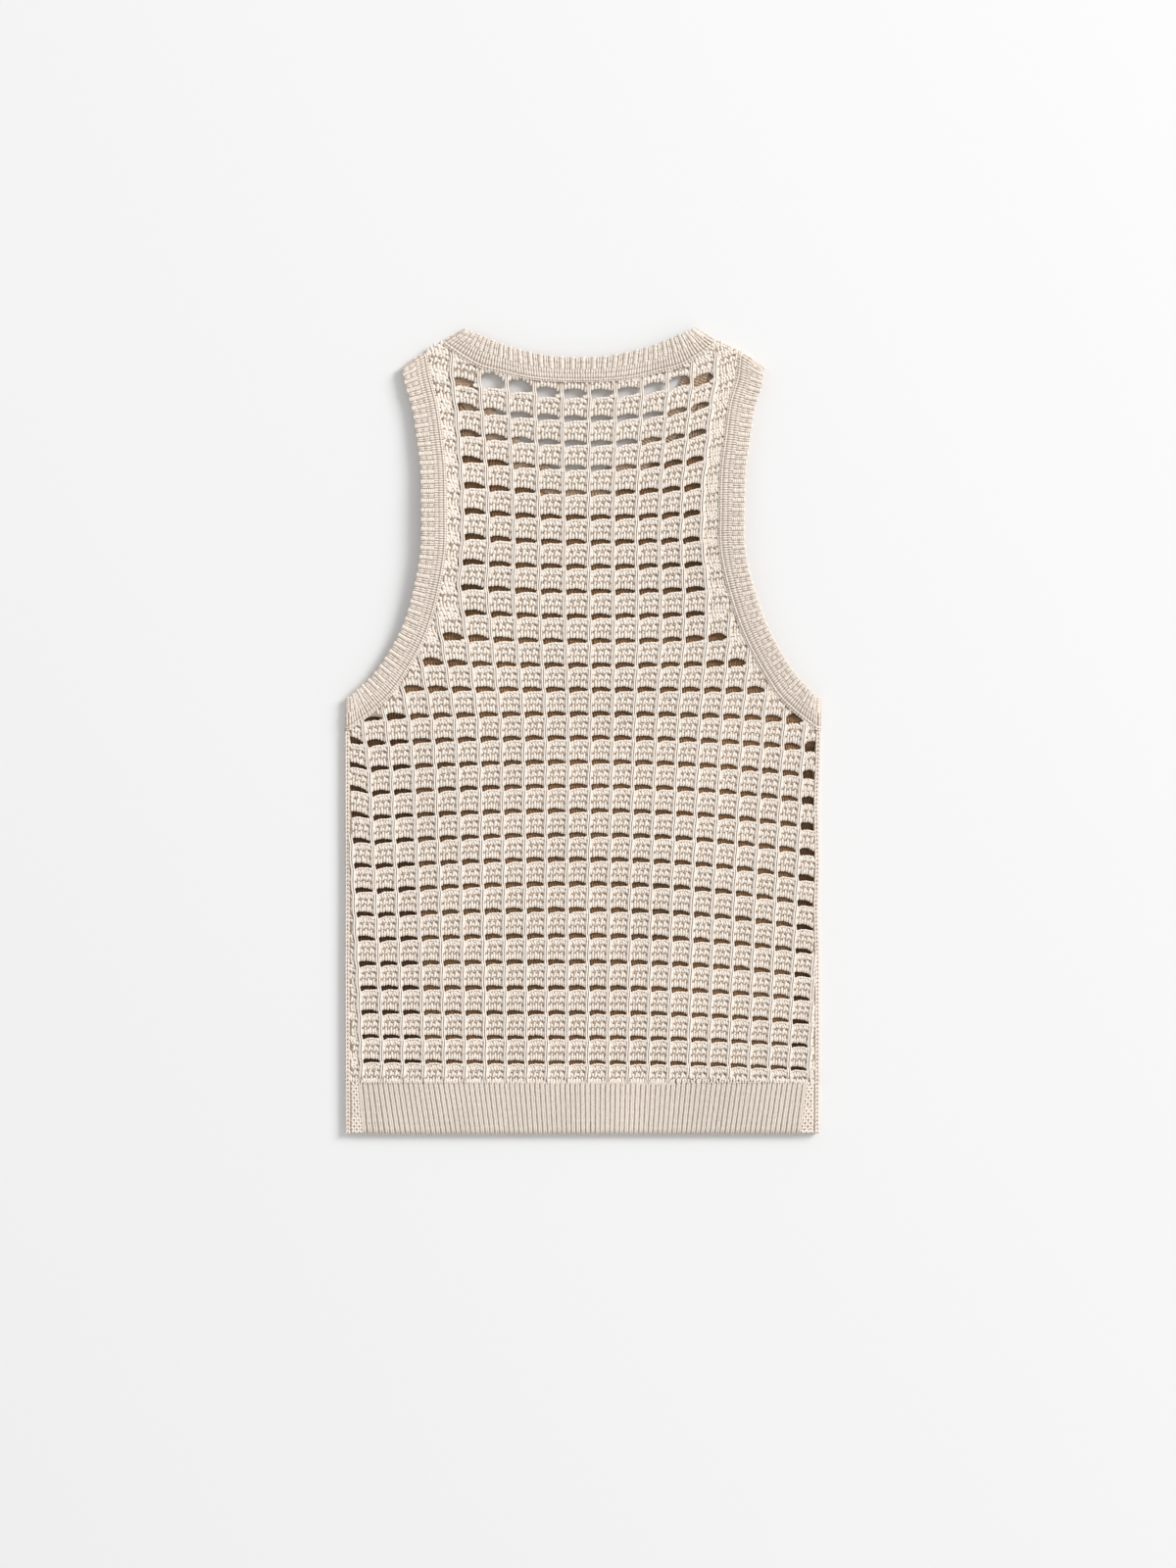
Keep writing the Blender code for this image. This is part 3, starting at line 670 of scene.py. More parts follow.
def yarn(name, colour, fleck=0.10):
    """Matte cotton: strands differ a little in tone, with a fine twist in the surface."""
    made = bpy.data.materials.new(name)
    made.use_nodes = True
    nodes, links = made.node_tree.nodes, made.node_tree.links
    shader = nodes["Principled BSDF"]
    set_values(shader, Roughness=0.88, Sheen_Weight=0.25, Sheen_Roughness=0.5,
               Specular_IOR_Level=0.2)
    place = nodes.new("ShaderNodeTexCoord")

    def noise(scale, detail):
        made_noise = nodes.new("ShaderNodeTexNoise")
        set_values(made_noise, Scale=scale, Detail=detail)
        links.new(place.outputs["Object"], made_noise.inputs["Vector"])
        return made_noise.outputs["Fac"]

    def maths(operation, source, factor):
        made_maths = nodes.new("ShaderNodeMath")
        made_maths.operation = operation
        made_maths.inputs[1].default_value = factor
        links.new(source, made_maths.inputs[0])
        return made_maths

    fine = maths("MULTIPLY", noise(520.0, 3.0), 1.0 - BROAD_SHARE)
    blend = maths("MULTIPLY_ADD", noise(14.0, 2.0), BROAD_SHARE)
    links.new(fine.outputs[0], blend.inputs[2])
    tones = nodes.new("ShaderNodeValToRGB")
    dark = [channel * (1 - fleck * DARK_FLECK) for channel in colour]
    light = [min(1.0, channel * (1 + fleck)) for channel in colour]
    for stop, position, tone in zip(tones.color_ramp.elements, TONE_ENDS, (dark, light)):
        stop.position = position
        stop.color = (*tone, 1.0)
    links.new(blend.outputs[0], tones.inputs["Fac"])
    links.new(tones.outputs["Color"], shader.inputs["Base Color"])
    bump = nodes.new("ShaderNodeBump")
    set_values(bump, Strength=0.35, Distance=0.00025)
    links.new(noise(2600.0, 2.0), bump.inputs["Height"])
    links.new(bump.outputs["Normal"], shader.inputs["Normal"])
    return made


CREAM = (0.955, 0.857, 0.762)
# A painted highlight: the same cream yarn as the blocks, painted lighter for the light the raised
# cords catch
LIT_CORD_CREAM = (1.0, 0.92, 0.84)
# Painted shade: the ground under the strands, darkened for the shade in the gaps between them
SHADED_GROUND = (0.62, 0.52, 0.42)
# Painted shade: dark spindles that stand for the shade in the hollows between strands
HOLLOW_SHADE = (0.20, 0.145, 0.095)
# Painted shade: the garment's inside, cream yarn painted brown for the shade seen through the slots,
# in four depths
INSIDE_SHADE = (0.50, 0.290, 0.140)
INSIDE_YOKE_SHADE = (0.39, 0.215, 0.095)
INSIDE_DEEP_SHADE = (0.15, 0.07, 0.025)
# Painted shade, paler: the inside behind the first rows of slots and the bands' inner side
INSIDE_LIGHT_SHADE = (0.56, 0.41, 0.285)
RIB_CREAM = (0.88, 0.787, 0.70)
HEM_CREAM = (0.80, 0.715, 0.63)
# Painted shade: the ground between the ribs of the bands and of the hems, darkened for the shade
# between strands
GROOVE_SHADE = (0.60, 0.50, 0.40)
HEM_GROOVE_SHADE = (0.67, 0.575, 0.48)

strand_yarn = yarn("cream_strand", CREAM, fleck=0.05)
lit_cord_yarn = yarn("lit_cream_cord", LIT_CORD_CREAM, fleck=0.0)
shaded_ground_yarn = yarn("shaded_ground", SHADED_GROUND)
hollow_shade_yarn = yarn("shaded_hollow", HOLLOW_SHADE)
# Painted shade of the garment's inside
inside_shade_yarn = yarn("shaded_inside", INSIDE_SHADE, fleck=0.30)
inside_yoke_shade_yarn = yarn("shaded_inside_yoke", INSIDE_YOKE_SHADE, fleck=0.30)
inside_deep_shade_yarn = yarn("shaded_inside_deep", INSIDE_DEEP_SHADE, fleck=0.30)
# Paler painted shade of the inside
inside_light_shade_yarn = yarn("shaded_inside_light", INSIDE_LIGHT_SHADE, fleck=0.20)
outside_yarn = yarn("cream_face", CREAM, fleck=0.05)
rib_yarn = yarn("cream_rib", RIB_CREAM)
groove_shade_yarn = yarn("rib_groove", GROOVE_SHADE)
hem_yarn = yarn("cream_hem", HEM_CREAM)
hem_groove_shade_yarn = yarn("hem_groove", HEM_GROOVE_SHADE)

back_outline = panel_outline(front=False)
front_outline = panel_outline(front=True)


def slot_reach(cord, row):
    """How far a slot reaches up and down beside its usual edges, and how low it lies."""
    if row == 0:
        _, height, rise = TOP_ROW[int(cord - TOP_ROW[0, 0])]
        lower = TOP_ROW_DOWN * SLOT_MIDDLE * ROW_PITCH
        return (height - lower) / ROW_PITCH, TOP_ROW_DOWN, (height / 2 - rise - lower) / ROW_PITCH
    up, down = (np.interp(row, SLOT_SCALE[:, 0], SLOT_SCALE[:, i]) for i in (1, 2))
    half = slots_in_row(row) // 2
    rank = half - abs(cord + 0.5) - 0.5
    taller = 1 + np.interp(row, *TALL_EDGES.T) * max(0.0, 1 - rank / 2)
    if cord == half - 1:
        taller += np.interp(row, *TALL_RIGHT.T)
    return up * taller, down * taller, 0.0


def slot_tilt(cord, across, row):
    """How far a slot's edges lie lower at a place across it, for its tilt."""
    share = np.clip((cord + across) / TILT_CORDS, 0.0, 1.0)
    return np.interp(row, *RIGHT_TILT.T) * share * (0.5 - across)


def slot_top(cord, across, row):
    up, _, low = slot_reach(cord, row)
    edge = SLOT_TOP if row else TOP_ROW_TOP
    return np.interp(across, *edge.T) * up + low + slot_tilt(cord, across, row)


def slot_bottom(cord, across, row):
    _, down, low = slot_reach(cord, row)
    return np.interp(across, *SLOT_BOTTOM.T) * down + low + slot_tilt(cord, across, row)


def block_places(cord, row, table):
    """A table's strands in one block, moved clear of the slots above and below it."""
    low = slot_reach(cord, row)[2] if has_slot(cord, row) else 0.0
    places = []
    for s0, t0, s1, t1, width in table:
        t0, t1 = (t + low * max(0.0, 1 - t / BLOCK_SQUEEZE) for t in (t0, t1))
        floor = 1.0
        if has_slot(cord, row + 1):
            floor += slot_top(cord, (s0 + s1) / 2, row + 1)
        if t1 < floor:
            places.append((cord + s0, row + t0, cord + s1, row + t1, width, 0.0))
    return places


def rim_edges(cord, across, row, share):
    """Upper and lower edge of a cut slot, with a share of its height cut from below."""
    upper = slot_top(cord, across, row) - RIM_HIDDEN
    lower = slot_bottom(cord, across, row) + RIM_HIDDEN
    return lower + share * (upper - lower), lower


def slot_rim(cord, row, outline, shift=0.0):
    """Rim of the slot right of a cord, as far as it lies well inside a panel."""
    trials = np.linspace(*RIM_ACROSS, RIM_TRIALS)
    best, share_cut = np.zeros(RIM_TRIALS, dtype=bool), 1.0
    for share in SHARES_CUT:
        fits = np.ones(RIM_TRIALS, dtype=bool)
        for down in rim_edges(cord, trials, row, share):
            x, y = grid_place(cord + trials, row + down + shift)
            fits &= clearance(np.stack([x, y], axis=1), outline) > RIM_MARGIN
            fits &= to_side(x, y) > SLOT_TO_SIDE
        if fits.sum() > LONGER_CUT * best.sum():
            best, share_cut = fits, share
    if best.sum() < SHORTEST_RIM * RIM_TRIALS:
        return None
    across = np.linspace(trials[best].min(), trials[best].max(), RIM_STEPS)
    upper, lower = rim_edges(cord, across, row, share_cut)
    s = np.concatenate([across, across[::-1]])
    t = np.concatenate([upper, lower[::-1]])
    return np.stack(grid_place(cord + s, row + t + shift), axis=1)


def cells_with_slots():
    """Every slot, as the cord left of it and its row."""
    for row in range(ROWS):
        half = slots_in_row(row) // 2
        for cord in range(-half, half):
            yield cord, row


def all_slots(outline, shift=0.0):
    """Rims of a panel's slots."""
    rims = [slot_rim(cord, row, outline, shift) for cord, row in cells_with_slots()]
    return [rim for rim in rims if rim is not None]


def triangles(points, edges, outline_count):
    flat = [Vector((float(x), float(y))) for x, y in points]
    _, _, faces, origin, _, _ = delaunay_2d_cdt(
        flat, edges, [list(range(outline_count))], 1, 1e-7)
    return [tuple(origin[i][0] for i in face) for face in faces]


def cloth_base(name, outline, rims, low, high, spread, materials):
    """A thin wall with its slots cut through: upper face, lower face and rims."""
    points, edges, owner, loops = [], [], [], []
    for number, loop in enumerate([outline, *rims]):
        first = len(points)
        loops.append(range(first, first + len(loop)))
        edges += [(first + i, first + (i + 1) % len(loop)) for i in range(len(loop))]
        points += [tuple(p) for p in loop]
        owner += [number - 1] * len(loop)
    for x in np.arange(-SPREAD_HALF_WIDTH, SPREAD_HALF_WIDTH, spread):
        for y in np.arange(HEM_EDGE_Y, -HEM_EDGE_Y, spread):
            points.append((x, y))
            owner.append(-2)
    points = np.array(points)
    keep = np.array(owner) != -2
    extra = np.nonzero(~keep)[0]
    clear = clearance(points[extra], outline) > SPREAD_MARGIN
    for rim in rims:
        box_low, box_high = rim.min(axis=0) - RIM_BOX_MARGIN, rim.max(axis=0) + RIM_BOX_MARGIN
        within = ((points[extra] > box_low) & (points[extra] < box_high)).all(axis=1)
        clear &= ~within
    keep[extra[clear]] = True
    renumber = np.cumsum(keep) - 1
    points = points[keep]
    owner = np.array(owner)[keep]
    edges = [(int(renumber[a]), int(renumber[b])) for a, b in edges]
    faces = np.array(triangles(points, edges, len(outline)))
    middle = points[faces].mean(axis=1)
    same = (owner[faces] == owner[faces[:, :1]]).all(axis=1) & (owner[faces[:, 0]] >= 0)
    hollow = np.zeros(len(faces), dtype=bool)
    for index in np.nonzero(same)[0]:
        rim = rims[owner[faces[index, 0]]]
        hollow[index] = clearance(middle[index:index + 1], rim)[0] > 0
    faces = faces[~hollow]
    flip = np.cross(points[faces[:, 1]] - points[faces[:, 0]],
                    points[faces[:, 2]] - points[faces[:, 0]]) < 0
    faces[flip] = faces[flip][:, ::-1]
    count = len(points)
    solid = np.vstack([np.column_stack([points, high(points[:, 0], points[:, 1])]),
                       np.column_stack([points, low(points[:, 0], points[:, 1])])])
    walls, area = [], []
    for number, loop in enumerate(loops):
        loop = [int(renumber[i]) for i in loop]
        ring = points[loop]
        turn = (ring[:, 0] * np.roll(ring[:, 1], -1) - np.roll(ring[:, 0], -1) * ring[:, 1]).sum()
        area.append(abs(turn) / 2)
        outward = (turn > 0) == (number == 0)
        for a, b in zip(loop, loop[1:] + loop[:1]):
            walls.append((a, count + a, count + b, b) if outward
                         else (b, count + b, count + a, a))
    index = np.concatenate([np.zeros(len(faces)), np.ones(len(faces)),
                            np.full(len(outline), 2), np.zeros(len(walls) - len(outline))])
    made = add_mesh(name, solid, [np.vstack([faces, faces[:, ::-1] + count]), np.array(walls)],
                    materials, index.astype(np.int32))
    return made, (area[0] - sum(area[1:])) * MM * MM


rims = all_slots(back_outline)
# The upper panel's wall: upper face and rims in the ground's painted shade, underside in the inside's
# painted shade
back_cloth, back_area = cloth_base(
    "back_cloth", back_outline, rims, back_under,
    lambda x, y: back_under(x, y) + BASE_WALL, BACK_SPREAD, [shaded_ground_yarn, inside_shade_yarn, shaded_ground_yarn])
front_rims = all_slots(front_outline, shift=FRONT_SHIFT)
# The lower panel's wall, its inner face in painted shade
front_cloth, front_area = cloth_base(
    "front_cloth", front_outline, front_rims,
    lambda x, y: np.full_like(x, FRONT_LOW), lambda x, y: np.full_like(x, FRONT_HIGH),
    FRONT_SPREAD, [inside_shade_yarn, outside_yarn, outside_yarn])


def cell_strands(cord, row):
    """Strands of one cell, from its slot down: cord and row of both ends, width, height."""
    strands = block_places(cord, row, BLOCK_STRANDS)

    def add(s0, t0, s1, t1, width, height=0.0):
        strands.append((cord + s0, row + t0, cord + s1, row + t1, width, height))

    slot_below = has_slot(cord, row + 1)
    for start, end, length in LAST_LEGS:
        edge = slot_top(cord, end, row + 1) if slot_below else LAST_LEG_NO_SLOT
        reach = 1.0 + LAST_LEG_OVER + edge
        add(start, reach - length, end, reach, LAST_LEG_WIDTH)
    if has_slot(cord, row):
        for start, end in ARCH_STRANDS:
            add(start, slot_bottom(cord, start, row) + ARCH_DROP,
                end, slot_bottom(cord, end, row) + ARCH_DROP, ARCH_WIDTH, ARCH_RISE)
        for strand in CROSSING:
            add(*strand, CROSSING_RISE)
    else:
        strands += block_places(cord, row, FILLING)
    if not is_cord(cord + 1, row):
        for leg in GAP_LEGS:
            for top in GAP_LEG_TOPS:
                add(leg, top, leg + GAP_LEG_LEAN, top + GAP_LEG_LENGTH, GAP_LEG_WIDTH)
    return strands


def is_cord(cord, row):
    """Whether a cord runs beside this row's block."""
    half = max(slots_in_row(row), slots_in_row(row + 1)) // 2
    return abs(cord) <= half


def block_strands():
    """Every strand of the upper panel's blocks."""
    strands = []
    for row in range(-2, ROWS):
        for cord in BLOCK_CORDS:
            strands += cell_strands(cord, row)
    return np.array(strands)


def placed_strands(table, outline, rng):
    """The table's strands on the garment, cut off at a panel's edge and at the side seams."""
    jitter = rng.normal(0.0, PLACE_JITTER, (len(table), 4))
    x0, y0 = grid_place(table[:, 0] + jitter[:, 0], table[:, 1] + jitter[:, 1])
    x1, y1 = grid_place(table[:, 2] + jitter[:, 2], table[:, 3] + jitter[:, 3])
    middle = np.stack([(x0 + x1) / 2, (y0 + y1) / 2], axis=1)
    keep = clearance(middle, outline) > STRAND_MARGIN
    keep &= (to_side(*middle.T) > SIDE_COLUMNS_END) | (middle[:, 1] > UNDERARM_Y)
    return x0[keep], y0[keep], x1[keep], y1[keep], table[keep]


def add_block_strands():
    """The blocks' strands of the upper panel, in pieces from the neck down."""
    rng = np.random.default_rng(SEED)
    x0, y0, x1, y1, table = placed_strands(block_strands(), back_outline, rng)
    scale = pitch_at(table[:, 0], table[:, 1]) / PITCH_OF_WIDTHS
    width = table[:, 4] * scale * rng.uniform(*STRAND_WIDTHS, len(table))
    level = STRAND_LEVEL + table[:, 5] + rng.normal(0.0, LEVEL_JITTER, len(table))
    level -= STRAND_ENDS_DOWN
    start, end = on_back(x0, y0, level), on_back(x1, y1, level)
    made = []
    pieces = math.ceil(len(table) * STRAND_TRIANGLES / PIECE_TRIANGLES)
    order = np.argsort(-(y0 + y1), kind="stable")
    for number, part in enumerate(np.array_split(order, pieces)):
        made.append(add_leaves(f"back_stitches_{number + 1}", start[part], end[part], UP,
                               width[part], STRAND_THICKNESS, STRAND_ARCH, strand_yarn))
    return made


back_stitches = add_block_strands()


def add_hollow_shade():
    """Small dark spindles of painted shade in the hollows that the strands of each block leave
    between them.
    """
    rng = np.random.default_rng(SEED + 2)
    table = []
    for row in range(-1, ROWS):
        for cord in BLOCK_CORDS:
            hollows = HOLLOWS if has_slot(cord, row) else HOLLOWS + FILLING_HOLLOWS
            if cord + 1 == -slots_in_row(row) // 2:
                hollows = hollows + (SLIT_BESIDE_CORD,)
            table += block_places(cord, row, hollows)
    x0, y0, x1, y1, table = placed_strands(np.array(table), back_outline, rng)
    width = table[:, 4] * rng.uniform(*HOLLOW_WIDTHS, len(table))
    return add_leaves("back_hollow_shade", on_back(x0, y0, HOLLOW_LEVEL), on_back(x1, y1, HOLLOW_LEVEL),
                      UP, width, HOLLOW_THICKNESS, 0.0, hollow_shade_yarn, SMALL_STRAND)


back_hollow_shade = add_hollow_shade()


def shade_of_slot(cord, row):
    """How dark the painted shade on the lower panel is behind a slot, from 0, light, to 3, deep."""
    if row < PALE_SHADE_ROWS:
        return 0
    if row < YOKE_END_ROW:
        return 2
    return 3 if row >= DEEP_SHADE_FIRST_ROW and (cord < DEEP_SHADE_CORDS_END or cord == DEEP_SHADE_CORD_RIGHT) else 1


def add_front_strands():
    """Strands of the lower panel: its outer side underneath, and, in painted shade, what shows
    through slots.
    """
    rng = np.random.default_rng(SEED + 1)
    table = []
    for row in range(-1, ROWS):
        for cord in BLOCK_CORDS[1:-1]:
            for start, end, _ in LAST_LEGS:
                for top, bottom, opening in OUTER_COURSES:
                    table.append((cord + start - opening, row + top + FRONT_SHIFT,
                                  cord + end + opening, row + bottom + FRONT_SHIFT, OUTER_WIDTH))
    made = []

    def add_layer(name, table, height, up, material):
        x0, y0, x1, y1, kept = placed_strands(np.array(table), front_outline, rng)
        made.append(add_leaves(name, at_height(x0, y0, height), at_height(x1, y1, height), up,
                               kept[:, 4], FRONT_THICKNESS, 0.0, material, SMALL_STRAND))

    add_layer("front_stitches", table, FRONT_OUTER_LEVEL, DOWN, strand_yarn)
    # Strands on the lower panel's inner side, each slot's in its depth of painted shade
    for shade, material in enumerate((inside_light_shade_yarn, inside_shade_yarn, inside_yoke_shade_yarn,
                                      inside_deep_shade_yarn)):
        table = [(cord + across, row + INNER_TOP, cord + across + INNER_LEAN, row + INNER_BOTTOM,
                  INNER_WIDTH)
                 for cord, row in cells_with_slots() if shade_of_slot(cord, row) == shade
                 for across in INNER_ACROSS]
        add_layer(f"front_inner_shade_{shade + 1}", table, FRONT_INNER_LEVEL, UP, material)
    return made


front_stitches = add_front_strands()


def add_cords():
    """The knitted cords between the slots: two strands each, stepping aside under each slot."""
    parts = []
    for cord in BLOCK_CORDS[1:]:
        first = next(row for row in range(ROWS) if slots_in_row(row) // 2 >= abs(cord))
        rows, offsets = np.array([(row + down, aside) for row in range(first - 1, ROWS)
                                  for down, aside in CORD_PATH]).T
        x, y = grid_place(np.full(len(rows), float(cord)), rows)
        inside = clearance(np.stack([x, y], axis=1), back_outline) > CORD_MARGIN
        inside &= (to_side(x, y) > SIDE_COLUMNS_END) | (y > UNDERARM_Y)
        x, y, offsets = x[inside], y[inside], offsets[inside]
        if len(x) < 3:
            continue
        wider = EDGE_CORD_WIDENING if abs(cord) in (YOKE_SLOTS // 2, BODY_SLOTS // 2) else 1.0
        for strand in (-1, 1):
            path = on_back(x + offsets + strand * CORD_STRAND_GAP * wider, y, CORD_LEVEL)
            parts.append(tube_parts(path, UP, CORD_STRAND_WIDTH / 2 * wider,
                                    CORD_STRAND_HEIGHT / 2, sides=5))
    points, faces = join_parts(parts)
    # The cords in their lighter yarn, a painted highlight
    return add_mesh("back_cords", points, faces, [lit_cord_yarn])


back_cords = add_cords()


# Section of a band's ground: share of the way from free edge to seam, and of its thickness
GROUND_PROFILE = (
    (0.012, -0.30), (0.000, 0.00), (0.012, 0.30), (0.050, 0.50), (0.350, 0.50), (0.650, 0.50),
    (0.950, 0.50), (0.990, 0.30), (0.990, -0.30), (0.950, -0.50), (0.500, -0.50), (0.050, -0.50),
)
INNER_PROFILE_FACES = (8, 9, 10, 11)
BAND_GROUND = 1.5          # thickness of the ground inside a band
UPPER_STRAND_LEVEL = 1.05  # middle of a band's strands from the middle of its ground
LOWER_STRAND_LEVEL = 0.85
FOLD_STATIONS = 10
BAND_SPACING = 2.4

# One rib of a band: start and end as shares of the rib's pitch and of the band's width,
# strand width, extra height, arch
LOBE_STRANDS = tuple((0.030, 0.030 + 0.078 * i, 0.560, 0.020 + 0.078 * i, 2.30, -0.15, 0.60)
                     for i in range(7))
RIB_COLUMNS = tuple((0.125 + 0.250 * i, 0.010 * (-1) ** i) for i in range(4))
RIB_STRANDS = LOBE_STRANDS + (
    (0.700, -0.005, 0.690, 0.290, 1.70, 0.0, 0.2),
    (0.690, 0.230, 0.700, 0.550, 1.70, 0.0, 0.2),
    (0.905, -0.005, 0.915, 0.290, 1.50, -0.1, 0.2),
    (0.915, 0.230, 0.905, 0.550, 1.50, -0.1, 0.2),
    *((at, 0.490, at + lean, 0.740, 1.75, 0.0, 0.2) for at, lean in RIB_COLUMNS),
    *((at + lean, 0.690, at, 0.935, 1.75, 0.0, 0.2) for at, lean in RIB_COLUMNS),
    *((at - 0.135, 0.970, at + 0.155, 1.000, 1.90, -0.2, 0.3) for at, _ in RIB_COLUMNS),
    *((at - 0.115, 1.045, at + 0.145, 1.075, 1.80, -0.7, 0.3) for at, _ in RIB_COLUMNS),
)
# Columns that show through the slots on the inner side of a band's lower half, in painted shade
INNER_COLUMN_PITCH = 2.1
INNER_COLUMN_COURSES = (0.02, 0.34, 0.66, 0.98)
INNER_COLUMN_OVERLAP = 0.03
INNER_COLUMN_LEAN = 0.1
INNER_COLUMN_LEVEL = -0.84
INNER_COLUMN_WIDTH = 1.9
INNER_COLUMN_THICKNESS = 0.8
INNER_COLUMN_ARCH = 0.15
RIB_JITTER = 0.10          # seeded changes of a rib's strands: place, width, height
RIB_WIDTHS = (0.92, 1.08)
RIB_LEVEL_JITTER = 0.05
RIB_THICKNESS = 1.15
RIB_OF_WIDTHS = 7.4        # rib pitch for which strand widths are given
NECK_RIB = 7.4
ARM_RIB = 6.7


def ring_frame(back, front, start_out, end_out):
    """Middle of the free edge and of the seam, and the outer side's direction, all round."""
    free, seam, skin = [], [], []

    def add_half(rows, place, out):
        free.append(place(rows[:, 0], rows[:, 1], BAND_WALL / 2))
        seam.append(place(rows[:, 2], rows[:, 3], BAND_WALL / 2))
        skin.append(np.tile(out, (len(rows), 1)))

    def add_fold(row, out, going_down):
        angle = np.linspace(0.0, math.pi, FOLD_STATIONS + 1)[1:-1]
        angle = angle if going_down else math.pi - angle
        radius = (BAND_WALL + SEAM) / 2
        aside = np.outer(np.sin(angle), np.tile(out, 2)) * radius
        centre = BACK_UNDER - SEAM / 2 + radius * np.cos(angle)
        edge = row[None] + aside
        free.append(np.column_stack([edge[:, :2], centre]))
        seam.append(np.column_stack([edge[:, 2:], centre]))
        skin.append(np.column_stack([np.outer(np.sin(angle), out), np.cos(angle)]))

    add_fold(back[0], start_out, False)
    add_half(back, on_back, UP)
    add_fold(back[-1], end_out, True)
    add_half(front, at_height, DOWN)
    return np.vstack(free), np.vstack(seam), np.vstack(skin)


def ring_mesh(name, free, seam, skin, lower_from, materials):
    """The ground of a band: a closed wall all round in the grooves' painted shade, its inner side in
    the inside's paler painted shade where it lies low.
    """
    profile = np.array(GROUND_PROFILE)
    count, around = len(free), len(profile)
    points = (free[:, None] + (seam - free)[:, None] * profile[:, 0][None, :, None]
              + skin[:, None] * (profile[:, 1] * BAND_GROUND)[None, :, None])
    ring = np.arange(around)
    after = (ring + 1) % around
    stations = np.arange(count)[:, None]
    following = (stations + 1) % count
    bands = np.stack([stations * around + ring, stations * around + after,
                      following * around + after, following * around + ring], axis=-1)
    inner = np.isin(ring, INNER_PROFILE_FACES)[None, :] & (stations >= lower_from)
    return add_mesh(name, points.reshape(-1, 3), [bands.reshape(-1, 4)], materials,
                    inner.ravel().astype(np.int32))


def band_place(ring, u, v, height):
    """Points on a band: distance round it, share of its width, height above its middle."""
    free, seam, skin, run = ring
    edge, inner, out = (at_run(part, run, u) for part in (free, seam, skin))
    out = unit_rows(out)
    return edge + (inner - edge) * v[:, None] + out * height[:, None], out


def band_strands(name, ring, start, stop, pitch, level, shape):
    """Ribs of a band between two distances round it."""
    ribs = np.floor((stop - start) / pitch)
    pitch = (stop - start) / ribs
    table = np.array(RIB_STRANDS)
    firsts = start + np.arange(ribs) * pitch
    u0 = (firsts[:, None] + table[:, 0] * pitch).ravel()
    u1 = (firsts[:, None] + table[:, 2] * pitch).ravel()
    v0, v1, width, extra, arch = (np.tile(table[:, i], len(firsts)) for i in (1, 3, 4, 5, 6))
    rng = np.random.default_rng(SEED + len(name))
    u0 += rng.normal(0.0, RIB_JITTER, len(u0))
    u1 += rng.normal(0.0, RIB_JITTER, len(u1))
    width = width * pitch / RIB_OF_WIDTHS * rng.uniform(*RIB_WIDTHS, len(u0))
    height = level + extra + rng.normal(0.0, RIB_LEVEL_JITTER, len(u0))
    points0, out = band_place(ring, u0, v0, height)
    points1, _ = band_place(ring, u1, v1, height)
    return add_leaves(name, points0, points1, out, width, RIB_THICKNESS, arch, rib_yarn, shape)


def band_inner_columns(name, ring, start, stop):
    """Plain columns on the inner side of a band's lower half, in painted shade."""
    columns = np.arange(start, stop, INNER_COLUMN_PITCH)
    marks = INNER_COLUMN_COURSES
    u = np.repeat(columns, len(marks) - 1)
    v0, v1 = np.tile(marks[:-1], len(columns)), np.tile(marks[1:], len(columns))
    height = np.full(len(u), INNER_COLUMN_LEVEL)
    points0, out = band_place(ring, u, v0 - INNER_COLUMN_OVERLAP, height)
    points1, _ = band_place(ring, u + INNER_COLUMN_LEAN, v1 + INNER_COLUMN_OVERLAP, height)
    return add_leaves(name, points0, points1, -out, INNER_COLUMN_WIDTH, INNER_COLUMN_THICKNESS,
                      INNER_COLUMN_ARCH, inside_light_shade_yarn, PLAIN_STRAND)


def band(name, halves, pitch):
    """One folded band: its ground, its ribs on the upper side and on the lower side."""
    back, front, start_out, end_out = halves
    back_rows, front_rows = (evenly(half, round(run_of(half)[-1] / BAND_SPACING))
                             for half in (back, front))
    free, seam, skin = ring_frame(back_rows, front_rows, start_out, end_out)
    folds = 2 * (FOLD_STATIONS - 1)
    # The band's ground in painted shade
    ground = ring_mesh(f"{name}_ground", free, seam, skin, folds + len(back_rows),
                       [groove_shade_yarn, inside_light_shade_yarn])
    closed = [np.vstack([part, part[:1]]) for part in (free, seam, skin)]
    middle = (closed[0] + closed[1]) / 2
    run = np.concatenate([[0.0], np.cumsum(np.linalg.norm(np.diff(middle, axis=0), axis=1))])
    ring = (*closed, run)
    lower = run[folds + len(back_rows)]
    upper = band_strands(f"{name}_ribs", ring, 0.0, lower, pitch, UPPER_STRAND_LEVEL, FULL_STRAND)
    under = band_strands(f"{name}_ribs_below", ring, lower, run[-1], pitch, LOWER_STRAND_LEVEL,
                         SMALL_STRAND)
    return [ground, upper, under, band_inner_columns(f"{name}_inner", ring, lower, run[-1])]


neck_pieces = band("neckband", neck_halves(), NECK_RIB)
left_pieces = band("armband_left", armhole_halves(-1), ARM_RIB)
right_pieces = band("armband_right", armhole_halves(1), ARM_RIB)


HEM_RIBS = 89
HEM_RIBS_LEFT = -161.0     # where the ribs begin and end along the hem's top
HEM_RIBS_RIGHT = 160.0
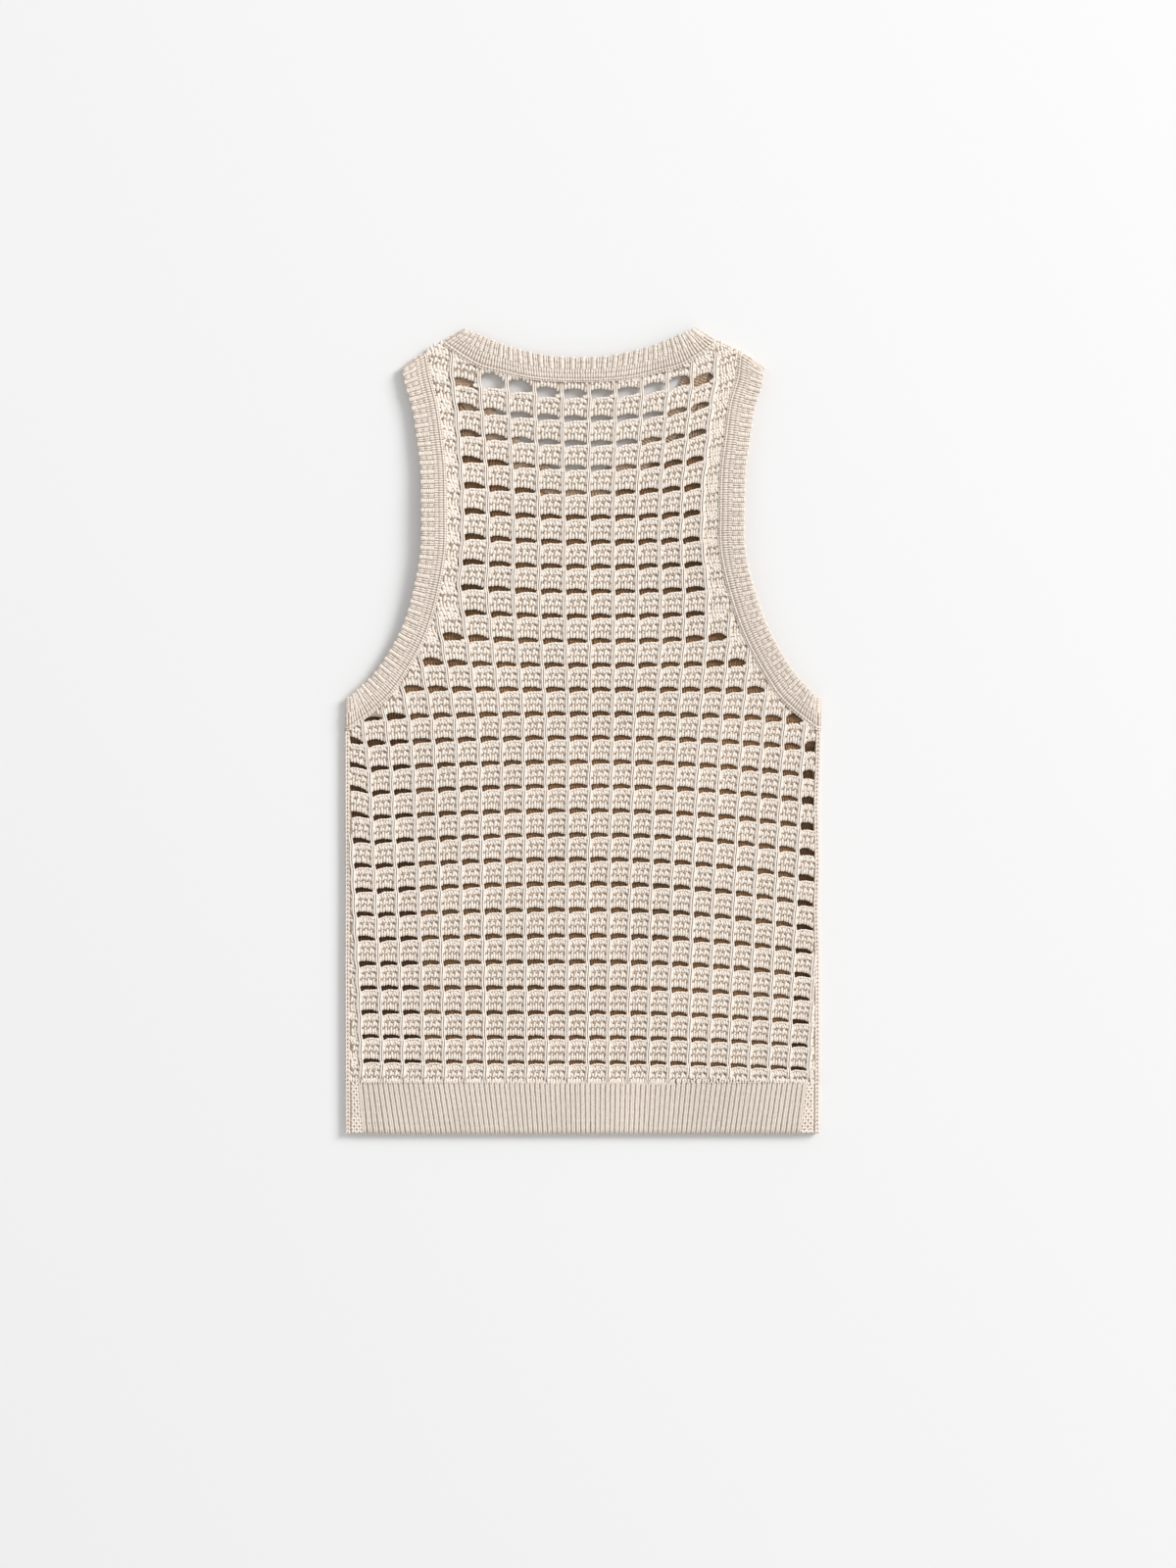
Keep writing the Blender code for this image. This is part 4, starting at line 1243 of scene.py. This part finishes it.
# Place across the ribs, how far a rib leans to the right by the bottom edge
HEM_LEAN = np.array((
    (0.00, 3.0), (0.05, 5.5), (0.20, 5.8), (0.35, 3.5), (0.50, 0.5), (0.65, -2.0), (0.80, -5.0),
    (0.95, -5.5), (1.00, -4.5),
))
HEM_STATIONS = 15          # points along one of a rib's two strands
HEM_STRAND = 1.85          # width of such a strand
HEM_STITCH_SWELL = 0.07    # how much it swells at every other point
HEM_STRAND_GAP = 0.185     # half the distance between the two, as a share of a rib
HEM_GROUND = 1.4           # top of the ground above the hem's underside
HEM_GROUND_LIFT = 0.2      # and the upper hem's own underside above the layer's
HEM_STRAND_LEVEL = 1.90    # middle of the strands above the hem's underside
HEM_STRAND_HEIGHT = 1.2
HEM_LOWER_LEVEL = 0.75     # middle of the lower hem's strands
HEM_JOIN_PITCH = 2.05
HEM_JOIN_REACH = 4.0       # how far the joining legs reach up, and down over the ribs
HEM_JOIN_OVER = 0.4
HEM_JOIN_RISE = 0.2        # how much higher their lower ends lie
HEM_ROLL = 0.035           # share of the hem's depth in which its edge rolls under
HEM_ROLL_DROP = 0.9
HEM_GROUND_STATIONS = 41
HEM_GROUND_INSET = 1.0     # how far the ground ends inside the side seams and the bottom edge
# Stitches beside a hem's ribs: courses down, pitch, how far one leans by turns, reach up and down
HEM_SIDE_COURSES = np.arange(0.0, 0.98, 0.062)
HEM_SIDE_PITCH = 1.9
HEM_SIDE_LEANS = (-0.55, 0.75)
HEM_SIDE_UP = 1.1
HEM_SIDE_DOWN = 1.5
HEM_SIDE_LEVEL = 1.70
HEM_SIDE_ARCH = 0.25


def hem_place(share, down):
    """Place on the hem: share of the way across its ribs, and of the way down."""
    share, down = np.asarray(share, dtype=float), np.asarray(down, dtype=float)
    x = HEM_RIBS_LEFT + (HEM_RIBS_RIGHT - HEM_RIBS_LEFT) * share
    x = x + np.interp(share, *HEM_LEAN.T) * down
    return x, HEM_EDGE_Y + HEM_DEPTH * (1 - down)


def hem_ground(name, upper):
    """The ground under a hem's ribs, from side seam to side seam, in painted shade."""
    points, faces = [], []
    count = HEM_GROUND_STATIONS
    for y in (HEM_EDGE_Y + HEM_DEPTH, HEM_EDGE_Y + HEM_GROUND_INSET):
        x = np.linspace(side_x(y, -1) + HEM_GROUND_INSET, side_x(y, 1) - HEM_GROUND_INSET, count)
        for level in (HEM_GROUND_LIFT if upper else 0.0, HEM_GROUND):
            points.append(on_back(x, np.full(count, y), level) if upper
                          else at_height(x, np.full(count, y), FRONT_LOW + level))
    ends = np.arange(4) * count
    for i in range(count - 1):
        top_low, top_high, bottom_low, bottom_high = ends + i
        faces += [(top_high, bottom_high, bottom_high + 1, top_high + 1),
                  (top_low, top_low + 1, bottom_low + 1, bottom_low),
                  (bottom_low, bottom_low + 1, bottom_high + 1, bottom_high),
                  (top_low, top_high, top_high + 1, top_low + 1)]
    faces += [ends[[0, 2, 3, 1]], ends[[0, 1, 3, 2]] + count - 1]
    return add_mesh(name, np.vstack(points), [np.array(faces)], [hem_groove_shade_yarn])


def hem_strands(name, upper):
    """Ribs of a hem: two strands each, which round the bottom edge."""
    rng = np.random.default_rng(SEED + len(name))
    down = np.linspace(-0.03, 1.0, HEM_STATIONS)
    drop = HEM_ROLL_DROP * np.clip((down - 1.0 + HEM_ROLL) / HEM_ROLL, 0.0, 1.0)
    swell = 1.0 + HEM_STITCH_SWELL * (-1.0) ** np.arange(HEM_STATIONS)
    parts = []
    for rib in range(HEM_RIBS):
        for leg in (-HEM_STRAND_GAP, HEM_STRAND_GAP):
            share = (rib + 0.5 + leg) / HEM_RIBS + rng.normal(0.0, 0.0002, HEM_STATIONS)
            x, y = hem_place(share, down)
            z = back_under(x, y) + HEM_STRAND_LEVEL - drop if upper else HEM_LOWER_LEVEL + drop / 3
            width = HEM_STRAND / 2 * rng.uniform(0.94, 1.06)
            path = np.column_stack([x, y, np.broadcast_to(z, x.shape)])
            parts.append(tube_parts(path, UP if upper else DOWN, width, HEM_STRAND_HEIGHT / 2,
                                    sides=5 if upper else 4, girth=swell))
    points, faces = join_parts(parts)
    return add_mesh(name, points, faces, [hem_yarn])


def hem_join():
    """A course of short legs where the upper panel meets its hem."""
    rng = np.random.default_rng(SEED + 3)
    count = round((HEM_RIBS_RIGHT - HEM_RIBS_LEFT) / HEM_JOIN_PITCH)
    share = (np.arange(count) + 0.5) / count + rng.normal(0.0, 0.0004, count)
    x = HEM_RIBS_LEFT + (HEM_RIBS_RIGHT - HEM_RIBS_LEFT) * share
    lean = rng.normal(0.0, 0.25, count)
    top = np.full(count, HEM_EDGE_Y + HEM_DEPTH)
    start = on_back(x - lean, top + HEM_JOIN_REACH, STRAND_LEVEL)
    end = on_back(x + lean, top - HEM_JOIN_OVER, STRAND_LEVEL + HEM_JOIN_RISE)
    return add_leaves("back_hem_join", start, end, UP, HEM_JOIN_PITCH, STRAND_THICKNESS,
                      SEAM_ARCH, strand_yarn, PLAIN_STRAND)


def hem_side_strips(name):
    """Small slanting stitches between a hem's ribs and the side seams."""
    starts, ends = [], []
    for side, share in ((-1, 0.0), (1, 1.0)):
        for number, down in enumerate(HEM_SIDE_COURSES):
            edge_x, y = hem_place(share, down)
            outer = side_x(y, side) - side * SIDE_COLUMNS_END
            count = max(2, round(abs(outer - edge_x) / HEM_SIDE_PITCH))
            for i in range(count):
                x = edge_x + (outer - edge_x) * (i + 0.3) / count
                lean = HEM_SIDE_LEANS[(i + number) % 2]
                starts.append((x - lean, y + HEM_SIDE_UP))
                ends.append((x + lean, y - HEM_SIDE_DOWN))
    start, end = (on_back(*np.array(places).T, HEM_SIDE_LEVEL) for places in (starts, ends))
    return add_leaves(name, start, end, UP, HEM_SIDE_PITCH, HEM_STRAND_HEIGHT, HEM_SIDE_ARCH,
                      strand_yarn)


back_hem = [hem_ground("back_hem_ground", True), hem_strands("back_hem_ribs", True),
            hem_side_strips("back_hem_sides"), hem_join()]
front_hem = [hem_ground("front_hem_ground", False), hem_strands("front_hem_ribs", False)]


SIDE_STITCH_STEP = 2.9
SIDE_STITCH_LENGTH = 1.15  # of a stitch, in steps
SIDE_STITCH_LEVEL = 1.55
SIDE_STITCH_WIDTH = 1.75
SIDE_STITCH_THICKNESS = 1.3
SIDE_STITCH_COLUMNS = ((0.95, 0.35), (2.65, -0.35))  # distance from the seam, lean
WRAP_TURNS = np.radians((62.0, 20.0, -22.0, -64.0))  # where strands lie round an edge
WRAP_HALF_TURN = 0.42
WRAP_INSET = 2.4
WRAP_PITCH = 2.1           # along a shoulder
WRAP_STEP = 2.4            # along a side seam
WRAP_LOWEST = 0.5          # least height of a strand's ends
WRAP_WIDTH = 2.2
WRAP_THICKNESS = 1.2
WRAP_ARCH = 0.2
SHOULDER_RISE = 0.3        # how much higher the strands stand on the shoulders


def side_columns():
    """Knit columns along the side seams, where the front wraps on to the back."""
    starts, ends = [], []
    step = SIDE_STITCH_STEP
    for side in (-1, 1):
        for aside, lean in SIDE_STITCH_COLUMNS:
            for y in np.arange(UNDERARM_Y - 1.0, HEM_EDGE_Y + 2.0, -step):
                starts.append((side_x(y, side) - side * (aside + lean), y))
                ends.append((side_x(y - step, side) - side * (aside - lean),
                             y - step * SIDE_STITCH_LENGTH))
    start, end = (on_back(*np.array(places).T, SIDE_STITCH_LEVEL) for places in (starts, ends))
    return add_leaves("side_stitches", start, end, UP, SIDE_STITCH_WIDTH, SIDE_STITCH_THICKNESS,
                      SEAM_ARCH, rib_yarn)


def shoulder_ends():
    """Side, and where its shoulder edge meets the neckband and the armband."""
    back_half, _, left, right = neck_halves()
    line = seam_line(back_half)
    for side, neck in ((-1, line[0] + left * FOLD_REACH), (1, line[-1] + right * FOLD_REACH)):
        curve, _, shoulder, _ = armhole_halves(side)
        yield side, neck, seam_line(curve)[0] + shoulder * FOLD_REACH


def edge_wraps():
    """Strands that round the shoulders and the side seams from the back to the front."""
    starts, ends, ups = [], [], []
    centre_z = BACK_UNDER - SEAM / 2

    def wrap(x, y, out, rise=0.0):
        radius = float(back_under(x, y)) + STRAND_LEVEL + rise - centre_z
        for angle in WRAP_TURNS:
            for end, turn in ((starts, angle + WRAP_HALF_TURN), (ends, angle - WRAP_HALF_TURN)):
                flat = radius * math.cos(turn) - WRAP_INSET
                height = (radius if turn > 0 else centre_z - WRAP_LOWEST) * math.sin(turn)
                end.append((x + out[0] * flat, y + out[1] * flat,
                            max(centre_z + height, WRAP_LOWEST)))
            ups.append((out[0] * math.cos(angle), out[1] * math.cos(angle), math.sin(angle)))

    for side, neck, arm in shoulder_ends():
        along = neck - arm
        out = fold_out(np.append(arm, neck), (0.0, 1.0))
        count = round(np.linalg.norm(along) / WRAP_PITCH)
        for share in (np.arange(count) + 0.5) / count:
            wrap(*(arm + along * share), out, SHOULDER_RISE)
        for y in np.arange(UNDERARM_Y - 2.0, HEM_EDGE_Y + 1.5, -WRAP_STEP):
            wrap(float(side_x(y, side)), y, (side, 0.0))
    return add_leaves("edge_stitches", starts, ends, ups, WRAP_WIDTH, WRAP_THICKNESS, WRAP_ARCH,
                      strand_yarn, PLAIN_STRAND)


side_stitches = side_columns()
edge_stitches = edge_wraps()

SLOTS = {
    "back_openwork": [back_cloth, back_cords, back_hollow_shade, side_stitches, edge_stitches,
                      *back_stitches],
    "front_openwork": [front_cloth, *front_stitches],
    "neck_rib": neck_pieces,
    "arm_rib_left": left_pieces,
    "arm_rib_right": right_pieces,
    "back_hem": back_hem,
    "front_hem": front_hem,
}
for name, pieces in SLOTS.items():
    for piece in pieces:
        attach(piece, "root")

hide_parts("back_panel")
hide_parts("front_panel")
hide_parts("neckband")
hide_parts("armband_left")
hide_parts("armband_right")
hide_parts("back_hem_rib")
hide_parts("front_hem_rib")


FLOOR_HALF = 6000.0
FLOOR_LEVEL = -0.2


def add_floor():
    """A plain pale surface."""
    corners = [(x * FLOOR_HALF, y * FLOOR_HALF, FLOOR_LEVEL)
               for x, y in ((-1, -1), (1, -1), (1, 1), (-1, 1))]
    paper = bpy.data.materials.new("pale_surface")
    paper.use_nodes = True
    set_values(paper.node_tree.nodes["Principled BSDF"], Base_Color=(0.90, 0.90, 0.90, 1.0),
               Roughness=0.9, Specular_IOR_Level=0.1)
    floor = add_mesh("floor", corners, [np.array([(0, 1, 2, 3)])], [paper])


def add_light(name, place, target, size, power):
    """A square soft light aimed at a point on the surface."""
    data = bpy.data.lights.new(name, "AREA")
    data.shape = "SQUARE"
    data.size = size
    data.energy = power
    light = bpy.data.objects.new(name, data)
    light.location = place
    aim = Vector(target) - Vector(place)
    light.rotation_euler = aim.to_track_quat("-Z", "Y").to_euler()
    bpy.context.scene.collection.objects.link(light)


KEY_PLACE = (7.1, 4.6, 5.3)
KEY_SIZE = 4.2
KEY_POWER = 820.0
AMBIENT = 0.60


def add_lighting():
    """Soft light from the upper right, over an even pale surround."""
    add_light("key", KEY_PLACE, (0.0, 0.0, 0.0), KEY_SIZE, KEY_POWER)
    world = bpy.data.worlds.new("surround")
    world.use_nodes = True
    set_values(world.node_tree.nodes["Background"], Color=(1.0, 1.0, 1.0, 1.0), Strength=AMBIENT)
    bpy.context.scene.world = world


CAMERA_AIM = (0.0035, -0.038)     # the photograph's middle on the surface
FRAME_HEIGHT = 1.12
LENS = 100.0
SENSOR = 36.0


def add_camera():
    """Straight above the garment, with its neck to the top of the picture."""
    data = bpy.data.cameras.new("camera")
    data.lens = LENS
    data.sensor_width = SENSOR
    camera = bpy.data.objects.new("camera", data)
    camera.location = (*CAMERA_AIM, FRAME_HEIGHT * LENS / SENSOR)
    bpy.context.scene.collection.objects.link(camera)
    bpy.context.scene.camera = camera


add_floor()
add_lighting()
add_camera()
bpy.context.scene.view_settings.view_transform = "Standard"
